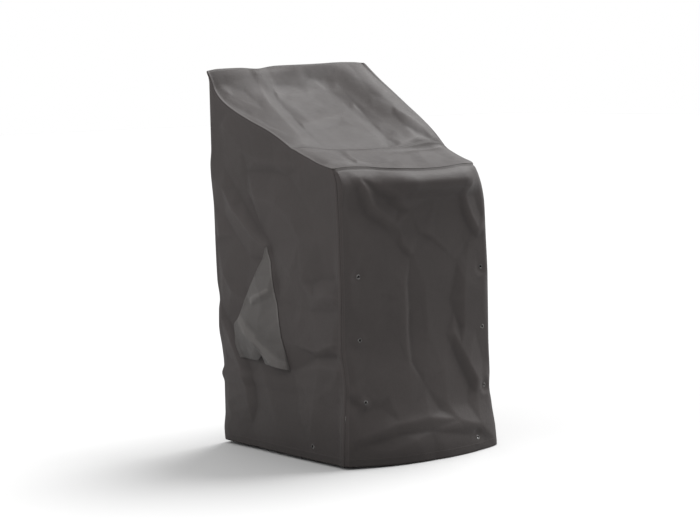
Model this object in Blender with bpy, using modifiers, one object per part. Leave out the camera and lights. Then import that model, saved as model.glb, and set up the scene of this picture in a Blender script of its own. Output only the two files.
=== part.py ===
"""Stacking chair cover: a fitted, hollow cloth cover with a slanted top.

Units are metres and +Z is up. The front of the cover faces -Y. Every cloth
panel is an open surface, given its thickness by a Solidify modifier.
"""
import math

import bpy
import numpy as np
from mathutils import Vector
from mathutils.bvhtree import BVHTree

for old in list(bpy.data.objects):
    bpy.data.objects.remove(old, do_unlink=True)

# ------------------------------------------------------------ driving sizes
CLOTH = 0.0020          # thickness of the cloth
SEAM = 0.0003           # clear gap between two sewn pieces
HALF = 0.330            # half of the width, and half of the depth
TAIL = 0.0020           # plan step of the 45 degree tail at an upright seam
CORNER_EASE = 0.0006    # extra gap under the top near its corners
LIP = 0.0052            # level strip along the rim of the top
EYELET_HOLE_R = 0.0056  # hole cut through the cloth
EYELET_BORE_R = 0.0040  # clear bore of the metal ring
EYELET_FLANGE_R = 0.0084
EYELET_FLANGE_T = 0.0008
EYELET_PAD = 0.0140     # half size of the flat patch round a ring
EYELET_STEPS = 12
FOLD_SPREAD = 1.20      # width of every fold of the walls
FOLD_LIFT = 1.25        # height of every fold of the walls
FLAP_CLOTH = 0.0012
FLAP_GAP = 0.0004        # clear gap under the sewn edges of the vent flap
FLAP_RISE = 0.034       # how far the free edge of the vent flap stands off
CRUMPLE = 0.0028        # height of the small uneven dents
CRUMPLE_CELL = 0.095

# ------------------------------------------------------------ corner seams
# height, reach in x, reach in y: distances from the upright middle planes.
FRONT_LEFT = [
    (0.000, 0.326, 0.322), (0.120, 0.325, 0.327), (0.250, 0.319, 0.329),
    (0.390, 0.327, 0.321), (0.550, 0.328, 0.327), (0.760, 0.330, 0.326),
    (0.900, 0.333, 0.322), (0.957, 0.334, 0.306),
]
FRONT_RIGHT = [
    (0.000, 0.315, 0.358), (0.070, 0.322, 0.340), (0.127, 0.322, 0.329),
    (0.185, 0.319, 0.323), (0.237, 0.322, 0.323), (0.350, 0.320, 0.322),
    (0.560, 0.320, 0.322), (0.700, 0.317, 0.319), (0.810, 0.315, 0.316),
    (0.863, 0.311, 0.310), (0.900, 0.306, 0.301), (0.930, 0.300, 0.290),
    (0.957, 0.291, 0.277),
]
BACK_LEFT = [
    (0.000, 0.327, 0.327), (0.040, 0.329, 0.328), (0.100, 0.325, 0.325),
    (0.200, 0.325, 0.325), (0.233, 0.331, 0.330), (0.262, 0.325, 0.325),
    (0.317, 0.328, 0.328), (0.400, 0.335, 0.335), (0.455, 0.334, 0.334),
    (0.490, 0.331, 0.331), (0.560, 0.336, 0.336), (0.680, 0.338, 0.338),
    (0.800, 0.339, 0.339), (0.950, 0.345, 0.345), (1.010, 0.342, 0.342),
    (1.230, 0.342, 0.342), (1.275, 0.348, 0.346),
]
BACK_RIGHT = [(0.000, 0.327, 0.327), (0.700, 0.333, 0.333), (1.290, 0.337, 0.337)]

# how far each wall stands out past its corner seam: height, distance
ROUND_FRONT_LEFT = [(0.0, 0.004), (1.3, 0.004)]
ROUND_FRONT_RIGHT = [(0.000, 0.008), (0.600, 0.010), (0.800, 0.014), (0.900, 0.024), (0.957, 0.036)]
ROUND_BACK_LEFT = [(0.0, 0.006), (1.3, 0.005)]
ROUND_BACK_RIGHT = [(0.0, 0.008), (1.3, 0.006)]

# ------------------------------------------------------------ slanted top
# Height of the slope at stations across (fraction from the left edge), one
# row for each fraction t on the way from the back edge down to the seam.
SLOPE_X = [0.00, 0.07, 0.21, 0.30, 0.44, 0.56, 0.645, 0.74, 0.87, 0.95, 1.00]
SLOPE = [
    (0.00, 1.273, 1.279, 1.281, 1.277, 1.286, 1.288, 1.289, 1.291, 1.294, 1.293, 1.290),
    (0.08, 1.205, 1.232, 1.256, 1.255, 1.250, 1.251, 1.251, 1.261, 1.275, 1.272, 1.264),
    (0.19, 1.167, 1.187, 1.223, 1.217, 1.204, 1.204, 1.210, 1.225, 1.243, 1.240, 1.231),
    (0.35, 1.134, 1.147, 1.179, 1.170, 1.160, 1.161, 1.169, 1.182, 1.207, 1.201, 1.188),
    (0.52, 1.106, 1.119, 1.134, 1.126, 1.117, 1.118, 1.125, 1.133, 1.166, 1.158, 1.142),
    (0.71, 1.078, 1.092, 1.092, 1.080, 1.074, 1.076, 1.080, 1.093, 1.116, 1.108, 1.092),
    (0.86, 1.050, 1.062, 1.052, 1.041, 1.035, 1.036, 1.041, 1.052, 1.071, 1.066, 1.048),
    (1.00, 1.018, 1.018, 1.008, 1.004, 1.001, 1.001, 1.003, 1.008, 1.016, 1.012, 0.996),
]
# The same for the nearly level front part, from the seam to the front edge.
SHELF = [
    (0.00, 1.018, 1.018, 1.008, 1.004, 1.001, 1.001, 1.003, 1.008, 1.016, 1.012, 0.996),
    (0.10, 1.012, 1.014, 1.003, 0.998, 0.994, 0.991, 0.989, 0.988, 0.992, 0.990, 0.986),
    (0.22, 1.003, 1.005, 0.994, 0.989, 0.986, 0.984, 0.984, 0.985, 0.988, 0.986, 0.978),
    (0.45, 0.988, 0.993, 0.984, 0.977, 0.972, 0.969, 0.968, 0.969, 0.972, 0.970, 0.964),
    (0.70, 0.971, 0.978, 0.974, 0.965, 0.959, 0.956, 0.954, 0.954, 0.958, 0.956, 0.952),
    (1.00, 0.957, 0.960, 0.957, 0.951, 0.945, 0.942, 0.942, 0.944, 0.948, 0.946, 0.943),
]
# plan line of the crosswise seam: fraction across, reach towards the front
SEAM_Y = [(0.00, 0.105), (0.22, 0.112), (0.45, 0.124), (0.64, 0.130), (0.85, 0.112), (1.00, 0.104)]
# the back edge is drawn in at one place: along, how far, how wide
BACK_NOTCH = (-0.135, 0.012, 0.045)

# ------------------------------------------------------------ flare of walls
# height above the hem, reach past HALF in the middle of the wall
FLARE_FRONT = [
    (0.000, 0.078), (0.060, 0.062), (0.150, 0.042), (0.300, 0.024), (0.500, 0.013),
    (0.700, 0.008), (0.850, 0.010), (0.900, 0.010), (0.930, 0.006), (0.957, -0.004),
]
FLARE_LEFT = [
    (0.000, 0.000), (0.200, 0.000), (0.500, 0.003), (0.800, 0.006), (0.957, 0.006), (1.275, 0.012),
]
FLARE_RIGHT = [(0.000, 0.010), (0.300, 0.002), (0.900, 0.004), (1.290, 0.006)]
FLARE_BACK = [(0.000, 0.012), (0.300, 0.004), (0.900, 0.008), (1.290, 0.006)]
# height of the hem along the front, from the back hem: fraction across, height
HEM_FRONT = [(0.00, -0.003), (0.20, -0.007), (0.50, -0.010), (0.78, -0.012), (0.92, -0.012), (1.00, -0.010)]

HEM_BACK = 0.000

# ------------------------------------------------------------ folds of walls
# a fold runs from one place to another on its wall: along and height of both
# ends, how far it stands out, and its width towards -along and +along.
LEFT_FOLDS = [
    (0.250, 0.900, 0.147, 0.765, 0.012, 0.070, 0.045),
    (0.147, 0.765, 0.040, 0.705, 0.012, 0.060, 0.040),
    (0.280, 0.987, 0.170, 0.962, 0.008, 0.060, 0.060),
    (0.140, 0.940, -0.050, 0.945, 0.010, 0.070, 0.070),
    (-0.050, 0.945, -0.188, 0.804, 0.013, 0.110, 0.060),
    (-0.188, 0.804, -0.240, 0.640, 0.010, 0.090, 0.050),
    (0.060, 0.860, -0.060, 0.790, -0.008, 0.060, 0.060),
    (-0.020, 0.680, -0.060, 0.330, -0.007, 0.070, 0.045),
    (-0.316, 0.393, -0.212, 0.327, -0.009, 0.045, 0.030),
    (-0.310, 0.450, -0.190, 0.420, 0.007, 0.040, 0.045),
    (-0.300, 0.250, -0.200, 0.285, 0.007, 0.050, 0.040),
    (0.308, 0.383, 0.265, 0.311, 0.010, 0.035, 0.030),
    (0.265, 0.311, 0.200, 0.083, 0.009, 0.050, 0.035),
    (0.300, 0.560, 0.255, 0.380, -0.008, 0.050, 0.035),
    (0.300, 0.700, 0.285, 0.520, 0.008, 0.050, 0.040),
    (0.150, 0.220, 0.120, 0.050, -0.006, 0.050, 0.050),
    (0.000, 0.240, -0.030, 0.040, 0.006, 0.090, 0.070),
]
FRONT_FOLDS = [
    (-0.273, 0.930, -0.230, 0.810, 0.010, 0.030, 0.045),
    (-0.230, 0.810, -0.109, 0.738, 0.011, 0.040, 0.055),
    (-0.197, 0.935, -0.127, 0.894, 0.007, 0.030, 0.040),
    (-0.127, 0.894, -0.055, 0.810, 0.010, 0.035, 0.055),
    (-0.055, 0.810, 0.072, 0.705, 0.009, 0.040, 0.050),
    (-0.077, 0.701, -0.037, 0.663, 0.006, 0.030, 0.030),
    (-0.064, 0.600, -0.048, 0.290, -0.009, 0.030, 0.060),
    (0.195, 0.890, 0.160, 0.802, 0.012, 0.050, 0.045),
    (0.160, 0.802, 0.242, 0.688, 0.010, 0.045, 0.050),
    (0.160, 0.476, 0.206, 0.530, 0.008, 0.045, 0.040),
    (0.206, 0.530, 0.193, 0.337, 0.008, 0.050, 0.035),
    (0.124, 0.340, 0.164, 0.249, 0.010, 0.045, 0.040),
    (0.164, 0.249, 0.225, 0.175, 0.011, 0.045, 0.045),
    (0.320, 0.185, 0.250, 0.130, -0.012, 0.030, 0.040),
    (-0.316, 0.248, -0.240, 0.130, 0.008, 0.040, 0.050),
    (-0.180, 0.300, -0.160, 0.060, -0.007, 0.050, 0.060),
    (0.040, 0.250, 0.060, 0.040, 0.008, 0.070, 0.070),
]
BACK_FOLDS = [
    (-0.180, 1.180, 0.060, 0.900, 0.009, 0.080, 0.080),
    (0.200, 0.800, 0.150, 0.300, 0.010, 0.090, 0.080),
    (-0.120, 0.520, -0.160, 0.080, -0.009, 0.080, 0.080),
]
RIGHT_FOLDS = [
    (-0.200, 0.860, 0.020, 0.700, 0.009, 0.080, 0.080),
    (0.180, 1.000, 0.220, 0.500, 0.010, 0.080, 0.090),
    (-0.060, 0.480, -0.040, 0.060, -0.009, 0.080, 0.080),
]

# ------------------------------------------------------------ eyelets
# wall, place along the wall at the middle plane, height
EYELETS = [
    ("front", -0.262, 0.606), ("front", -0.262, 0.400), ("front", -0.262, 0.202),
    ("front", 0.277, 0.606), ("front", 0.277, 0.400), ("front", 0.277, 0.202),
    ("front", 0.200, 0.034), ("left", -0.165, 0.040),
]

# ------------------------------------------------------------ vent flap
# left sewn edge and right sewn edge on the left wall: t, along, height
FLAP_LEFT = [(0.0, 0.040, 0.684), (0.25, 0.115, 0.582), (0.60, 0.218, 0.440), (0.72, 0.232, 0.398), (1.0, 0.212, 0.300)]
FLAP_RIGHT = [(0.0, 0.032, 0.684), (0.25, 0.022, 0.590), (0.60, -0.006, 0.452), (0.80, -0.028, 0.365), (1.0, -0.046, 0.279)]
FLAP_ROWS = [0.0, 0.08, 0.17, 0.27, 0.38, 0.49, 0.60, 0.70, 0.80, 0.90, 1.0]
FLAP_COLUMNS = 10


# ============================================================ helper functions
def table(rows, x, column=1):
    """Straight-line reading of one column of a short table."""
    return float(np.interp(x, [row[0] for row in rows], [row[column] for row in rows]))


def soft(t):
    """Smooth step from 0 to 1."""
    t = min(1.0, max(0.0, t))
    return t * t * (3.0 - 2.0 * t)


def fill(marks, longest):
    """Stations that hold every mark, with no step longer than longest."""
    out = [marks[0]]
    for low, high in zip(marks[:-1], marks[1:]):
        steps = max(1, math.ceil((high - low) / longest - 1e-9))
        out.extend(low + (high - low) * (k + 1) / steps for k in range(steps))
    return out


def scatter(i, j, seed):
    """A fixed uneven number from -1 to 1 for a pair of whole numbers."""
    value = math.sin(i * 127.1 + j * 311.7 + seed * 74.7) * 43758.5453
    return 2.0 * (value - math.floor(value)) - 1.0


def dents(a, z, seed):
    """Small facets: uneven heights on a slanted lattice, joined by flats."""
    p = (a + 0.35 * z) / CRUMPLE_CELL
    q = (0.8 * z - 0.2 * a) / CRUMPLE_CELL
    i, j = math.floor(p), math.floor(q)
    u, v = p - i, q - j
    h01, h10 = scatter(i, j + 1, seed), scatter(i + 1, j, seed)
    if u + v < 1.0:
        return CRUMPLE * ((1 - u - v) * scatter(i, j, seed) + u * h10 + v * h01)
    return CRUMPLE * ((u + v - 1) * scatter(i + 1, j + 1, seed) + (1 - v) * h10 + (1 - u) * h01)


def fold_height(folds, a, z):
    """Sum of the folds of a wall at one place."""
    total = 0.0
    for a0, z0, a1, z1, out, wide_minus, wide_plus in folds:
        da, dz = a1 - a0, z1 - z0
        length = math.hypot(da, dz)
        along = ((a - a0) * da + (z - z0) * dz) / length
        side = ((a - a0) * dz - (z - z0) * da) / length * math.copysign(1.0, dz)
        wide = FOLD_SPREAD * (wide_plus if side > 0 else wide_minus)
        q = math.sqrt((side / wide) ** 2 + 0.010) - 0.03
        if q < 1.0:
            end = 0.6 * max(wide_minus, wide_plus)
            total += FOLD_LIFT * out * (1.0 - q) ** 2 * soft(1.0 + min(along, length - along) / end)
    return total


# ============================================================ the upright walls
class Wall:
    """One upright panel, from its seam at -along to its seam at +along."""

    def __init__(self, name, face, first, last, first_round, last_round, flare, folds, seed):
        self.name, self.face, self.first, self.last = name, face, first, last
        self.first_round, self.last_round = first_round, last_round
        self.flare, self.folds, self.seed = flare, folds, seed
        self.upright_x = name in ("front", "back")
        self.out_column = 2 if self.upright_x else 1
        self.along_column = 1 if self.upright_x else 2

    def span(self, z):
        """The two ends of the wall at one height, measured along it."""
        return -table(self.first, z, self.along_column), table(self.last, z, self.along_column)

    def reach(self, u, z, hem_z, top_z):
        """Distance of the outer surface from the middle plane."""
        low, high = self.span(z)
        a = low + (high - low) * u
        drop_a, drop_b = table(self.first_round, z), table(self.last_round, z)
        reach_a = table(self.first, z, self.out_column)
        reach_b = table(self.last, z, self.out_column)
        flat = (reach_a + drop_a) * (1 - u) + (reach_b + drop_b) * u
        flat += table(self.flare, z) * (4.0 * u * (1.0 - u)) ** 0.8
        flat -= drop_a * max(0.0, 1 - (a - low) / (2.2 * drop_a)) ** 2
        flat -= drop_b * max(0.0, 1 - (high - a) / (2.2 * drop_b)) ** 2
        if self.name == "back":
            at, deep, wide = BACK_NOTCH
            flat -= deep * soft(1 - abs(a - at) / wide) * soft((z - 1.20) / 0.07)
        edge = soft((min(a - low, high - a) - 0.008) / 0.035) * soft((top_z - z - 0.006) / 0.030)
        low_down = 0.35 + 0.65 * soft((z - hem_z) / 0.05)
        return flat + edge * (fold_height(self.folds, a, z) + low_down * dents(a, z, self.seed))

    def place(self, a, reach, z):
        """A point in space from along, reach and height."""
        if self.upright_x:
            return (a, self.face * reach, z)
        return (self.face * reach, a, z)


FRONT = Wall("front", -1, FRONT_LEFT, FRONT_RIGHT, ROUND_FRONT_LEFT, ROUND_FRONT_RIGHT, FLARE_FRONT, FRONT_FOLDS, 1)
BACK = Wall("back", 1, BACK_LEFT, BACK_RIGHT, ROUND_BACK_LEFT, ROUND_BACK_RIGHT, FLARE_BACK, BACK_FOLDS, 2)
LEFT = Wall("left", -1, FRONT_LEFT, BACK_LEFT, ROUND_FRONT_LEFT, ROUND_BACK_LEFT, FLARE_LEFT, LEFT_FOLDS, 3)
RIGHT = Wall("right", 1, FRONT_RIGHT, BACK_RIGHT, ROUND_FRONT_RIGHT, ROUND_BACK_RIGHT, FLARE_RIGHT, RIGHT_FOLDS, 4)


# ============================================================ the top
def inner(f):
    """Squeeze a fraction so that the level lip at both rims reads as 0 or 1."""
    lip = LIP / (2 * HALF)
    return min(1.0, max(0.0, (f - lip) / (1 - 2 * lip)))


def slope_z(f, t):
    """Height of the sloping panel at fraction f across, t from back to seam."""
    lip = LIP / 0.44
    t = max(0.0, (t - lip) / (1 - lip))
    rows = [row[0] for row in SLOPE]
    across = [float(np.interp(inner(f), SLOPE_X, row[1:])) for row in SLOPE]
    return float(np.interp(t, rows, across))


def shelf_z(f, t):
    """Height of the nearly level panel at fraction f, t from seam to front."""
    lip = LIP / 0.19
    t = min(1.0, t / (1 - lip))
    rows = [row[0] for row in SHELF]
    across = [float(np.interp(inner(f), SLOPE_X, row[1:])) for row in SHELF]
    return float(np.interp(t, rows, across))


SEAM_TILT = math.radians(23)
SEAM_TAIL = 0.003

# stations across the front, the back and the top, as fractions
ACROSS = fill([0.0, 0.020, 0.0786, 0.1218, 0.7817, 0.8245, 0.9092, 0.9524, 0.980, 1.0], 0.052)
ACROSS_COARSE = [f for k, f in enumerate(ACROSS) if k in (0, 1, len(ACROSS) - 2, len(ACROSS) - 1) or k % 2 == 0]
# stations from back to front: (panel, t), t along that panel
LIP_SLOPE, LIP_SHELF = LIP / 0.44, LIP / 0.19
SLOPE_T = [0.0, LIP_SLOPE, 0.04, 0.08, 0.13, 0.19, 0.27, 0.35, 0.435, 0.52, 0.615, 0.71, 0.785, 0.86, 0.93, 1.0]
SHELF_T = [0.0, 0.1453, 0.2856, 0.42, 0.56, 0.70, 0.83, 0.93, 1 - LIP_SHELF, 1.0]
SLOPE_T_COARSE = [0.0, LIP_SLOPE, 0.08, 0.19, 0.35, 0.52, 0.71, 0.86, 1.0]
SHELF_T_COARSE = [0.0, 0.2856, 0.56, 0.83, 1 - LIP_SHELF, 1.0]
# rows up a wall, as fractions of its height; the last two rows are the rim
UP = fill([0.0, 0.0300, 0.0600, 0.1990, 0.2285, 0.4080, 0.4370, 0.6200, 0.6495, 0.90, 0.94, 0.972], 0.0370)


def tilt_step(point, sign):
    """The seam's short coplanar strip: sign +1 is towards the back."""
    x, y, z = point
    return (x, y + sign * SEAM_TAIL * math.cos(SEAM_TILT), z + sign * SEAM_TAIL * math.sin(SEAM_TILT))


def hem_height(wall, u):
    """Height of the hem over the floor."""
    if wall is FRONT:
        return table(HEM_FRONT, u)
    if wall is LEFT:
        return table(HEM_FRONT, 0.0) * (1 - u) + HEM_BACK * u
    if wall is RIGHT:
        return table(HEM_FRONT, 1.0) * (1 - u) + HEM_BACK * u
    return HEM_BACK


def surface(wall, u, z, top_z):
    """Outer surface of a wall at fraction u and height z."""
    low, high = wall.span(z)
    return wall.place(low + (high - low) * u, wall.reach(u, z, hem_height(wall, u), top_z), z)


def side_stations(wall, f, slope_t, shelf_t):
    """Columns of a side wall from back to front: kind, u, height of the top."""
    back, front = wall.span(1.30)[1], wall.span(0.957)[0]
    seam = -table(SEAM_Y, f)
    out = []
    for t in slope_t:
        y = back + (seam - back) * t
        out.append(("slope", t, (y - front) / (back - front), slope_z(f, t)))
    for t in shelf_t[1:]:
        y = seam + (front - seam) * t
        out.append(("shelf", t, (y - front) / (back - front), shelf_z(f, t)))
    return out


def side_line(wall, f, slope_t, shelf_t):
    """Top line of a side wall, back to front, with its columns and heights."""
    columns = []
    for kind, t, u, z in side_stations(wall, f, slope_t, shelf_t):
        point = surface(wall, u, z, z)
        if kind == "slope" and t == 1.0:
            step = SEAM_TAIL * math.cos(SEAM_TILT) / (2 * HALF)
            columns.append(("before", t, u + step, tilt_step(point, 1)))
            columns.append(("seam", t, u, point))
            columns.append(("after", 0.0, u - step, tilt_step(point, -1)))
        else:
            columns.append((kind, t, u, point))
    return columns


def cross_line(wall, stations, height_of):
    """Top line of the front or back wall, left to right."""
    return [(f, surface(wall, f, height_of(f), height_of(f))) for f in stations]


def offset_line(points, wall, drop):
    """The line moved down, square to itself, in the upright plane of the wall."""
    along = 0 if wall.upright_x else 1
    out = []
    for k, point in enumerate(points):
        before, after = points[max(k - 1, 0)], points[min(k + 1, len(points) - 1)]
        tangents = []
        for p, q in ((before, point), (point, after)):
            da, dz = q[along] - p[along], q[2] - p[2]
            length = math.hypot(da, dz)
            if length > 1e-9:
                tangents.append((da / length, dz / length))
        ta = sum(t[0] for t in tangents)
        tz = sum(t[1] for t in tangents)
        length = math.hypot(ta, tz)
        ta, tz = ta / length, tz / length
        cosine = ta * tangents[0][0] + tz * tangents[0][1]
        side = math.copysign(1.0, ta)
        far = drop + (CORNER_EASE if min(k, len(points) - 1 - k) < 4 else 0.0)
        moved = list(point)
        moved[along] += side * tz * far / cosine
        moved[2] -= side * ta * far / cosine
        out.append(tuple(moved))
    return out


def corner_column(wall, at_high_end, z, step):
    """A point of the 45 degree tail beside an upright seam."""
    low, high = wall.span(z)
    rows = wall.last if at_high_end else wall.first
    reach = table(rows, z, wall.out_column)
    a = high - step if at_high_end else low + step
    return wall.place(a, reach + step, z)


def wall_grid(wall, columns):
    """Rows of points from hem to rim. columns: u and point on the top line."""
    ordered = sorted(columns, key=lambda c: c[0])
    tail_u = TAIL / (2 * HALF)
    first, last = ordered[0][1], ordered[-1][1]
    inset = SEAM / 2 * math.sqrt(0.5)
    line = [(0.0, corner_column(wall, False, first[2], inset))]
    line.append((tail_u, corner_column(wall, False, first[2], TAIL)))
    line.extend(ordered[1:-1])
    line.append((1 - tail_u, corner_column(wall, True, last[2], TAIL)))
    line.append((1.0, corner_column(wall, True, last[2], inset)))
    rim = offset_line([point for _, point in line], wall, CLOTH + SEAM)
    rows = []
    for v in UP:
        row = []
        for k, (u, top) in enumerate(line):
            end = k >= len(line) - 2
            hem = hem_height(wall, 1.0 if end else (0.0 if k < 2 else u))
            z = hem + v * (top[2] - hem)
            if k < 2 or end:
                row.append(corner_column(wall, end, z, inset if k in (0, len(line) - 1) else TAIL))
            else:
                row.append(surface(wall, u, z, top[2]))
        rows.append(row)
    rows.append([(x, y, z - LIP) for x, y, z in rim])
    rows.append(rim)
    return rows


def flatten_pads(wall, rows):
    """Lay the cell round each eyelet of this wall flat; return ring places."""
    places = []
    along = 0 if wall.upright_x else 1
    out = 1 - along
    for name, a, z in EYELETS:
        if name != wall.name:
            continue
        row = min(range(len(rows) - 1), key=lambda r: abs((rows[r][8][2] + rows[r + 1][8][2]) / 2 - z))
        column = min(range(len(rows[0]) - 1), key=lambda c: abs((rows[row][c][along] + rows[row][c + 1][along]) / 2 - a))
        keys = [(row, column), (row, column + 1), (row + 1, column + 1), (row + 1, column)]
        cell = np.array([rows[r][c] for r, c in keys])
        middle = cell.mean(axis=0)
        fit = np.c_[cell[:, along] - middle[along], cell[:, 2] - middle[2]]
        slope, *_ = np.linalg.lstsq(fit, cell[:, out] - middle[out], rcond=None)
        for r, c in keys:
            point = list(rows[r][c])
            point[out] = middle[out] + slope[0] * (point[along] - middle[along]) + slope[1] * (point[2] - middle[2])
            rows[r][c] = tuple(point)
        normal = [0.0, 0.0, -slope[1]]
        normal[along] = -slope[0]
        normal[out] = 1.0
        normal = np.array(normal) * wall.face
        normal /= np.linalg.norm(normal)
        places.append((middle, normal))
    return places


def coons(back, front, left, right, f, t):
    """Plan position inside four edge lines."""
    b, c, l, r = (np.array(p) for p in (back, front, left[0], right[0]))
    lt, rt, l0, r0, l1, r1 = (np.array(p) for p in (left[1], right[1], left[0], right[0], left[2], right[2]))
    along = b * (1 - t) + c * t
    across = lt * (1 - f) + rt * f
    corners = (l0 * (1 - f) + r0 * f) * (1 - t) + (l1 * (1 - f) + r1 * f) * t
    return along + across - corners


def line_at(stations, points, f):
    """A point on a line of straight pieces, at a fraction."""
    return tuple(float(np.interp(f, stations, [p[k] for p in points])) for k in range(3))


# ============================================================ work out all the points
left_columns = side_line(LEFT, 0.0, SLOPE_T, SHELF_T)
right_coarse = side_line(RIGHT, 1.0, SLOPE_T_COARSE, SHELF_T_COARSE)
front_columns = cross_line(FRONT, ACROSS, lambda f: shelf_z(f, 1.0))
back_coarse = cross_line(BACK, ACROSS_COARSE, lambda f: slope_z(f, 0.0))


def refine(kind_names, stations, coarse):
    """Points of the coarse right-hand line at every fine station."""
    keep = [(t, point) for kind, t, _, point in coarse if kind in kind_names]
    keep.sort(key=lambda item: item[0])
    return [line_at([t for t, _ in keep], [p for _, p in keep], s) for s in stations]


def seam_point(f):
    """The crosswise seam of the top."""
    start = next(point for kind, _, _, point in left_columns if kind == "seam")
    stop = next(point for kind, _, _, point in right_coarse if kind == "seam")
    x = start[0] + (stop[0] - start[0]) * f
    y = -table(SEAM_Y, f) + (start[1] + table(SEAM_Y, 0)) * (1 - f) + (stop[1] + table(SEAM_Y, 1)) * f
    return (x, y, slope_z(f, 1.0))


def top_grid(stations_t, left, right, far_edge, near_edge, height, seam_last):
    """Points of a top panel, rows from back to front."""
    lip = LIP / (2 * HALF)
    stations_f = [ACROSS[0], lip] + ACROSS[1:-1] + [1 - lip, ACROSS[-1]]
    rows = []
    for k, t in enumerate(stations_t):
        row = []
        for f in stations_f:
            ends_left, ends_right = (left[0], left[k], left[-1]), (right[0], right[k], right[-1])
            x, y, _ = coons(far_edge(f), near_edge(f), ends_left, ends_right, f, t)
            z = height(f, t)
            if f == 0.0:
                x, y, z = left[k]
            elif f == 1.0:
                x, y, z = right[k]
            elif f in (lip, 1 - lip):
                edge = left[k] if f == lip else right[k]
                y, z = (y, edge[2]) if t in (0.0, 1.0) else (edge[1], edge[2])
            row.append((float(x), float(y), float(z)))
        rows.append(row)
    seam_row = [seam_point(f) for f in stations_f]
    seam_row[0], seam_row[-1] = (left[-1], right[-1]) if seam_last else (left[0], right[0])
    strip = [tilt_step(point, 1 if seam_last else -1) for point in seam_row]
    half = SEAM / 2 / SEAM_TAIL
    edge = [tuple(p + (q - p) * half for p, q in zip(point, step)) for point, step in zip(seam_row, strip)]
    if seam_last:
        return rows[:-1] + [strip, edge]
    return [edge, strip] + rows[1:]


left_slope = [p for kind, _, _, p in left_columns if kind in ("slope", "seam")]
left_shelf = [p for kind, _, _, p in left_columns if kind in ("seam", "shelf")]
right_slope = refine(("slope", "seam"), SLOPE_T, [c for c in right_coarse if c[0] in ("slope", "seam")])
right_shelf = refine(("seam", "shelf"), SHELF_T, [(k, 0.0 if k == "seam" else t, u, p) for k, t, u, p in right_coarse if k in ("seam", "shelf")])
back_f, back_p = [c[0] for c in back_coarse], [c[1] for c in back_coarse]
front_f, front_p = [c[0] for c in front_columns], [c[1] for c in front_columns]


def slope_height(f, t):
    """Slope height, equal to the coarse back line along its back edge."""
    lip = LIP_SLOPE
    if t <= lip + 1e-9:
        return line_at(back_f, back_p, f)[2]
    return slope_z(f, t)


slope_rows = top_grid(SLOPE_T, left_slope, right_slope, lambda f: line_at(back_f, back_p, f), seam_point, slope_height, True)
shelf_rows = top_grid(SHELF_T, left_shelf, right_shelf, seam_point, lambda f: line_at(front_f, front_p, f), shelf_z, False)
left_rows = wall_grid(LEFT, [(u, p) for kind, _, u, p in left_columns if kind != "seam"])
right_rows = wall_grid(RIGHT, [(u, p) for kind, _, u, p in right_coarse if kind != "seam"])
front_rows = wall_grid(FRONT, front_columns)
back_rows = wall_grid(BACK, back_coarse)
ring_places = flatten_pads(FRONT, front_rows) + flatten_pads(LEFT, left_rows)

# ============================================================ objects
parts = bpy.data.collections.new("stacking_chair_cover")
cutters = bpy.data.collections.new("cutters")
bpy.context.scene.collection.children.link(parts)
bpy.context.scene.collection.children.link(cutters)


def material(name, colour, roughness, metallic):
    """A plain material."""
    made = bpy.data.materials.new(name)
    made.use_nodes = True
    shader = made.node_tree.nodes["Principled BSDF"]
    shader.inputs["Base Color"].default_value = (*colour, 1.0)
    shader.inputs["Roughness"].default_value = roughness
    shader.inputs["Metallic"].default_value = metallic
    return made


def mesh_object(name, points, faces, home):
    """An object from points and faces."""
    mesh = bpy.data.meshes.new(name)
    mesh.from_pydata([tuple(float(c) for c in p) for p in points], [], faces)
    mesh.update()
    made = bpy.data.objects.new(name, mesh)
    home.objects.link(made)
    return made


def sheet(name, rows, flip, thickness, colour):
    """A grid of points as cloth; its given points are the outer face."""
    wide = len(rows[0])
    points = [p for row in rows for p in row]
    faces = []
    for r in range(len(rows) - 1):
        for c in range(wide - 1):
            quad = [r * wide + c, r * wide + c + 1, (r + 1) * wide + c + 1, (r + 1) * wide + c]
            faces.append(quad[::-1] if flip else quad)
    made = mesh_object(name, points, faces, parts)
    made.data.materials.append(material(name + "_cloth", colour, 0.62, 0.0))
    solid = made.modifiers.new("Thickness", "SOLIDIFY")
    solid.thickness = thickness
    solid.offset = -1.0
    solid.use_even_offset = True
    solid.use_quality_normals = True
    return made


GREY = (0.066, 0.060, 0.058)
front_panel = sheet("front_panel", front_rows, False, CLOTH, GREY)
back_panel = sheet("back_panel", back_rows, True, CLOTH, GREY)
left_panel = sheet("side_panel_left", left_rows, True, CLOTH, GREY)
right_panel = sheet("side_panel_right", right_rows, False, CLOTH, GREY)
slope_panel = sheet("top_slope_panel", slope_rows, True, CLOTH, GREY)
shelf_panel = sheet("top_front_panel", shelf_rows, True, CLOTH, GREY)

# ============================================================ vent flap
def wall_facets(rows):
    """The outer facets of a wall, for measuring the room under the flap."""
    wide = len(rows[0])
    points = [Vector(p) for row in rows for p in row]
    faces = []
    for r in range(len(rows) - 1):
        for c in range(wide - 1):
            a = r * wide + c
            faces.append((a, a + 1, a + wide + 1, a + wide))
    return BVHTree.FromPolygons(points, faces)


def flap_rise(s, t):
    """How far the flap stands off its wall: s from left to right, t downwards."""
    ridge = 0.02 + 0.50 * max(0.0, (t - 0.55) / 0.45)
    height = FLAP_RISE * soft(t / 0.55) ** 1.3 * (0.45 + 0.55 * soft((t - 0.45) / 0.55))
    if t <= 0.55:
        ridge = 0.45 - 0.43 * t / 0.55
        height *= 0.9
    if s < ridge:
        return height * (s / ridge) ** 0.8
    return height * ((1.0 - s) / (1.0 - ridge)) ** 0.75


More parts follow.
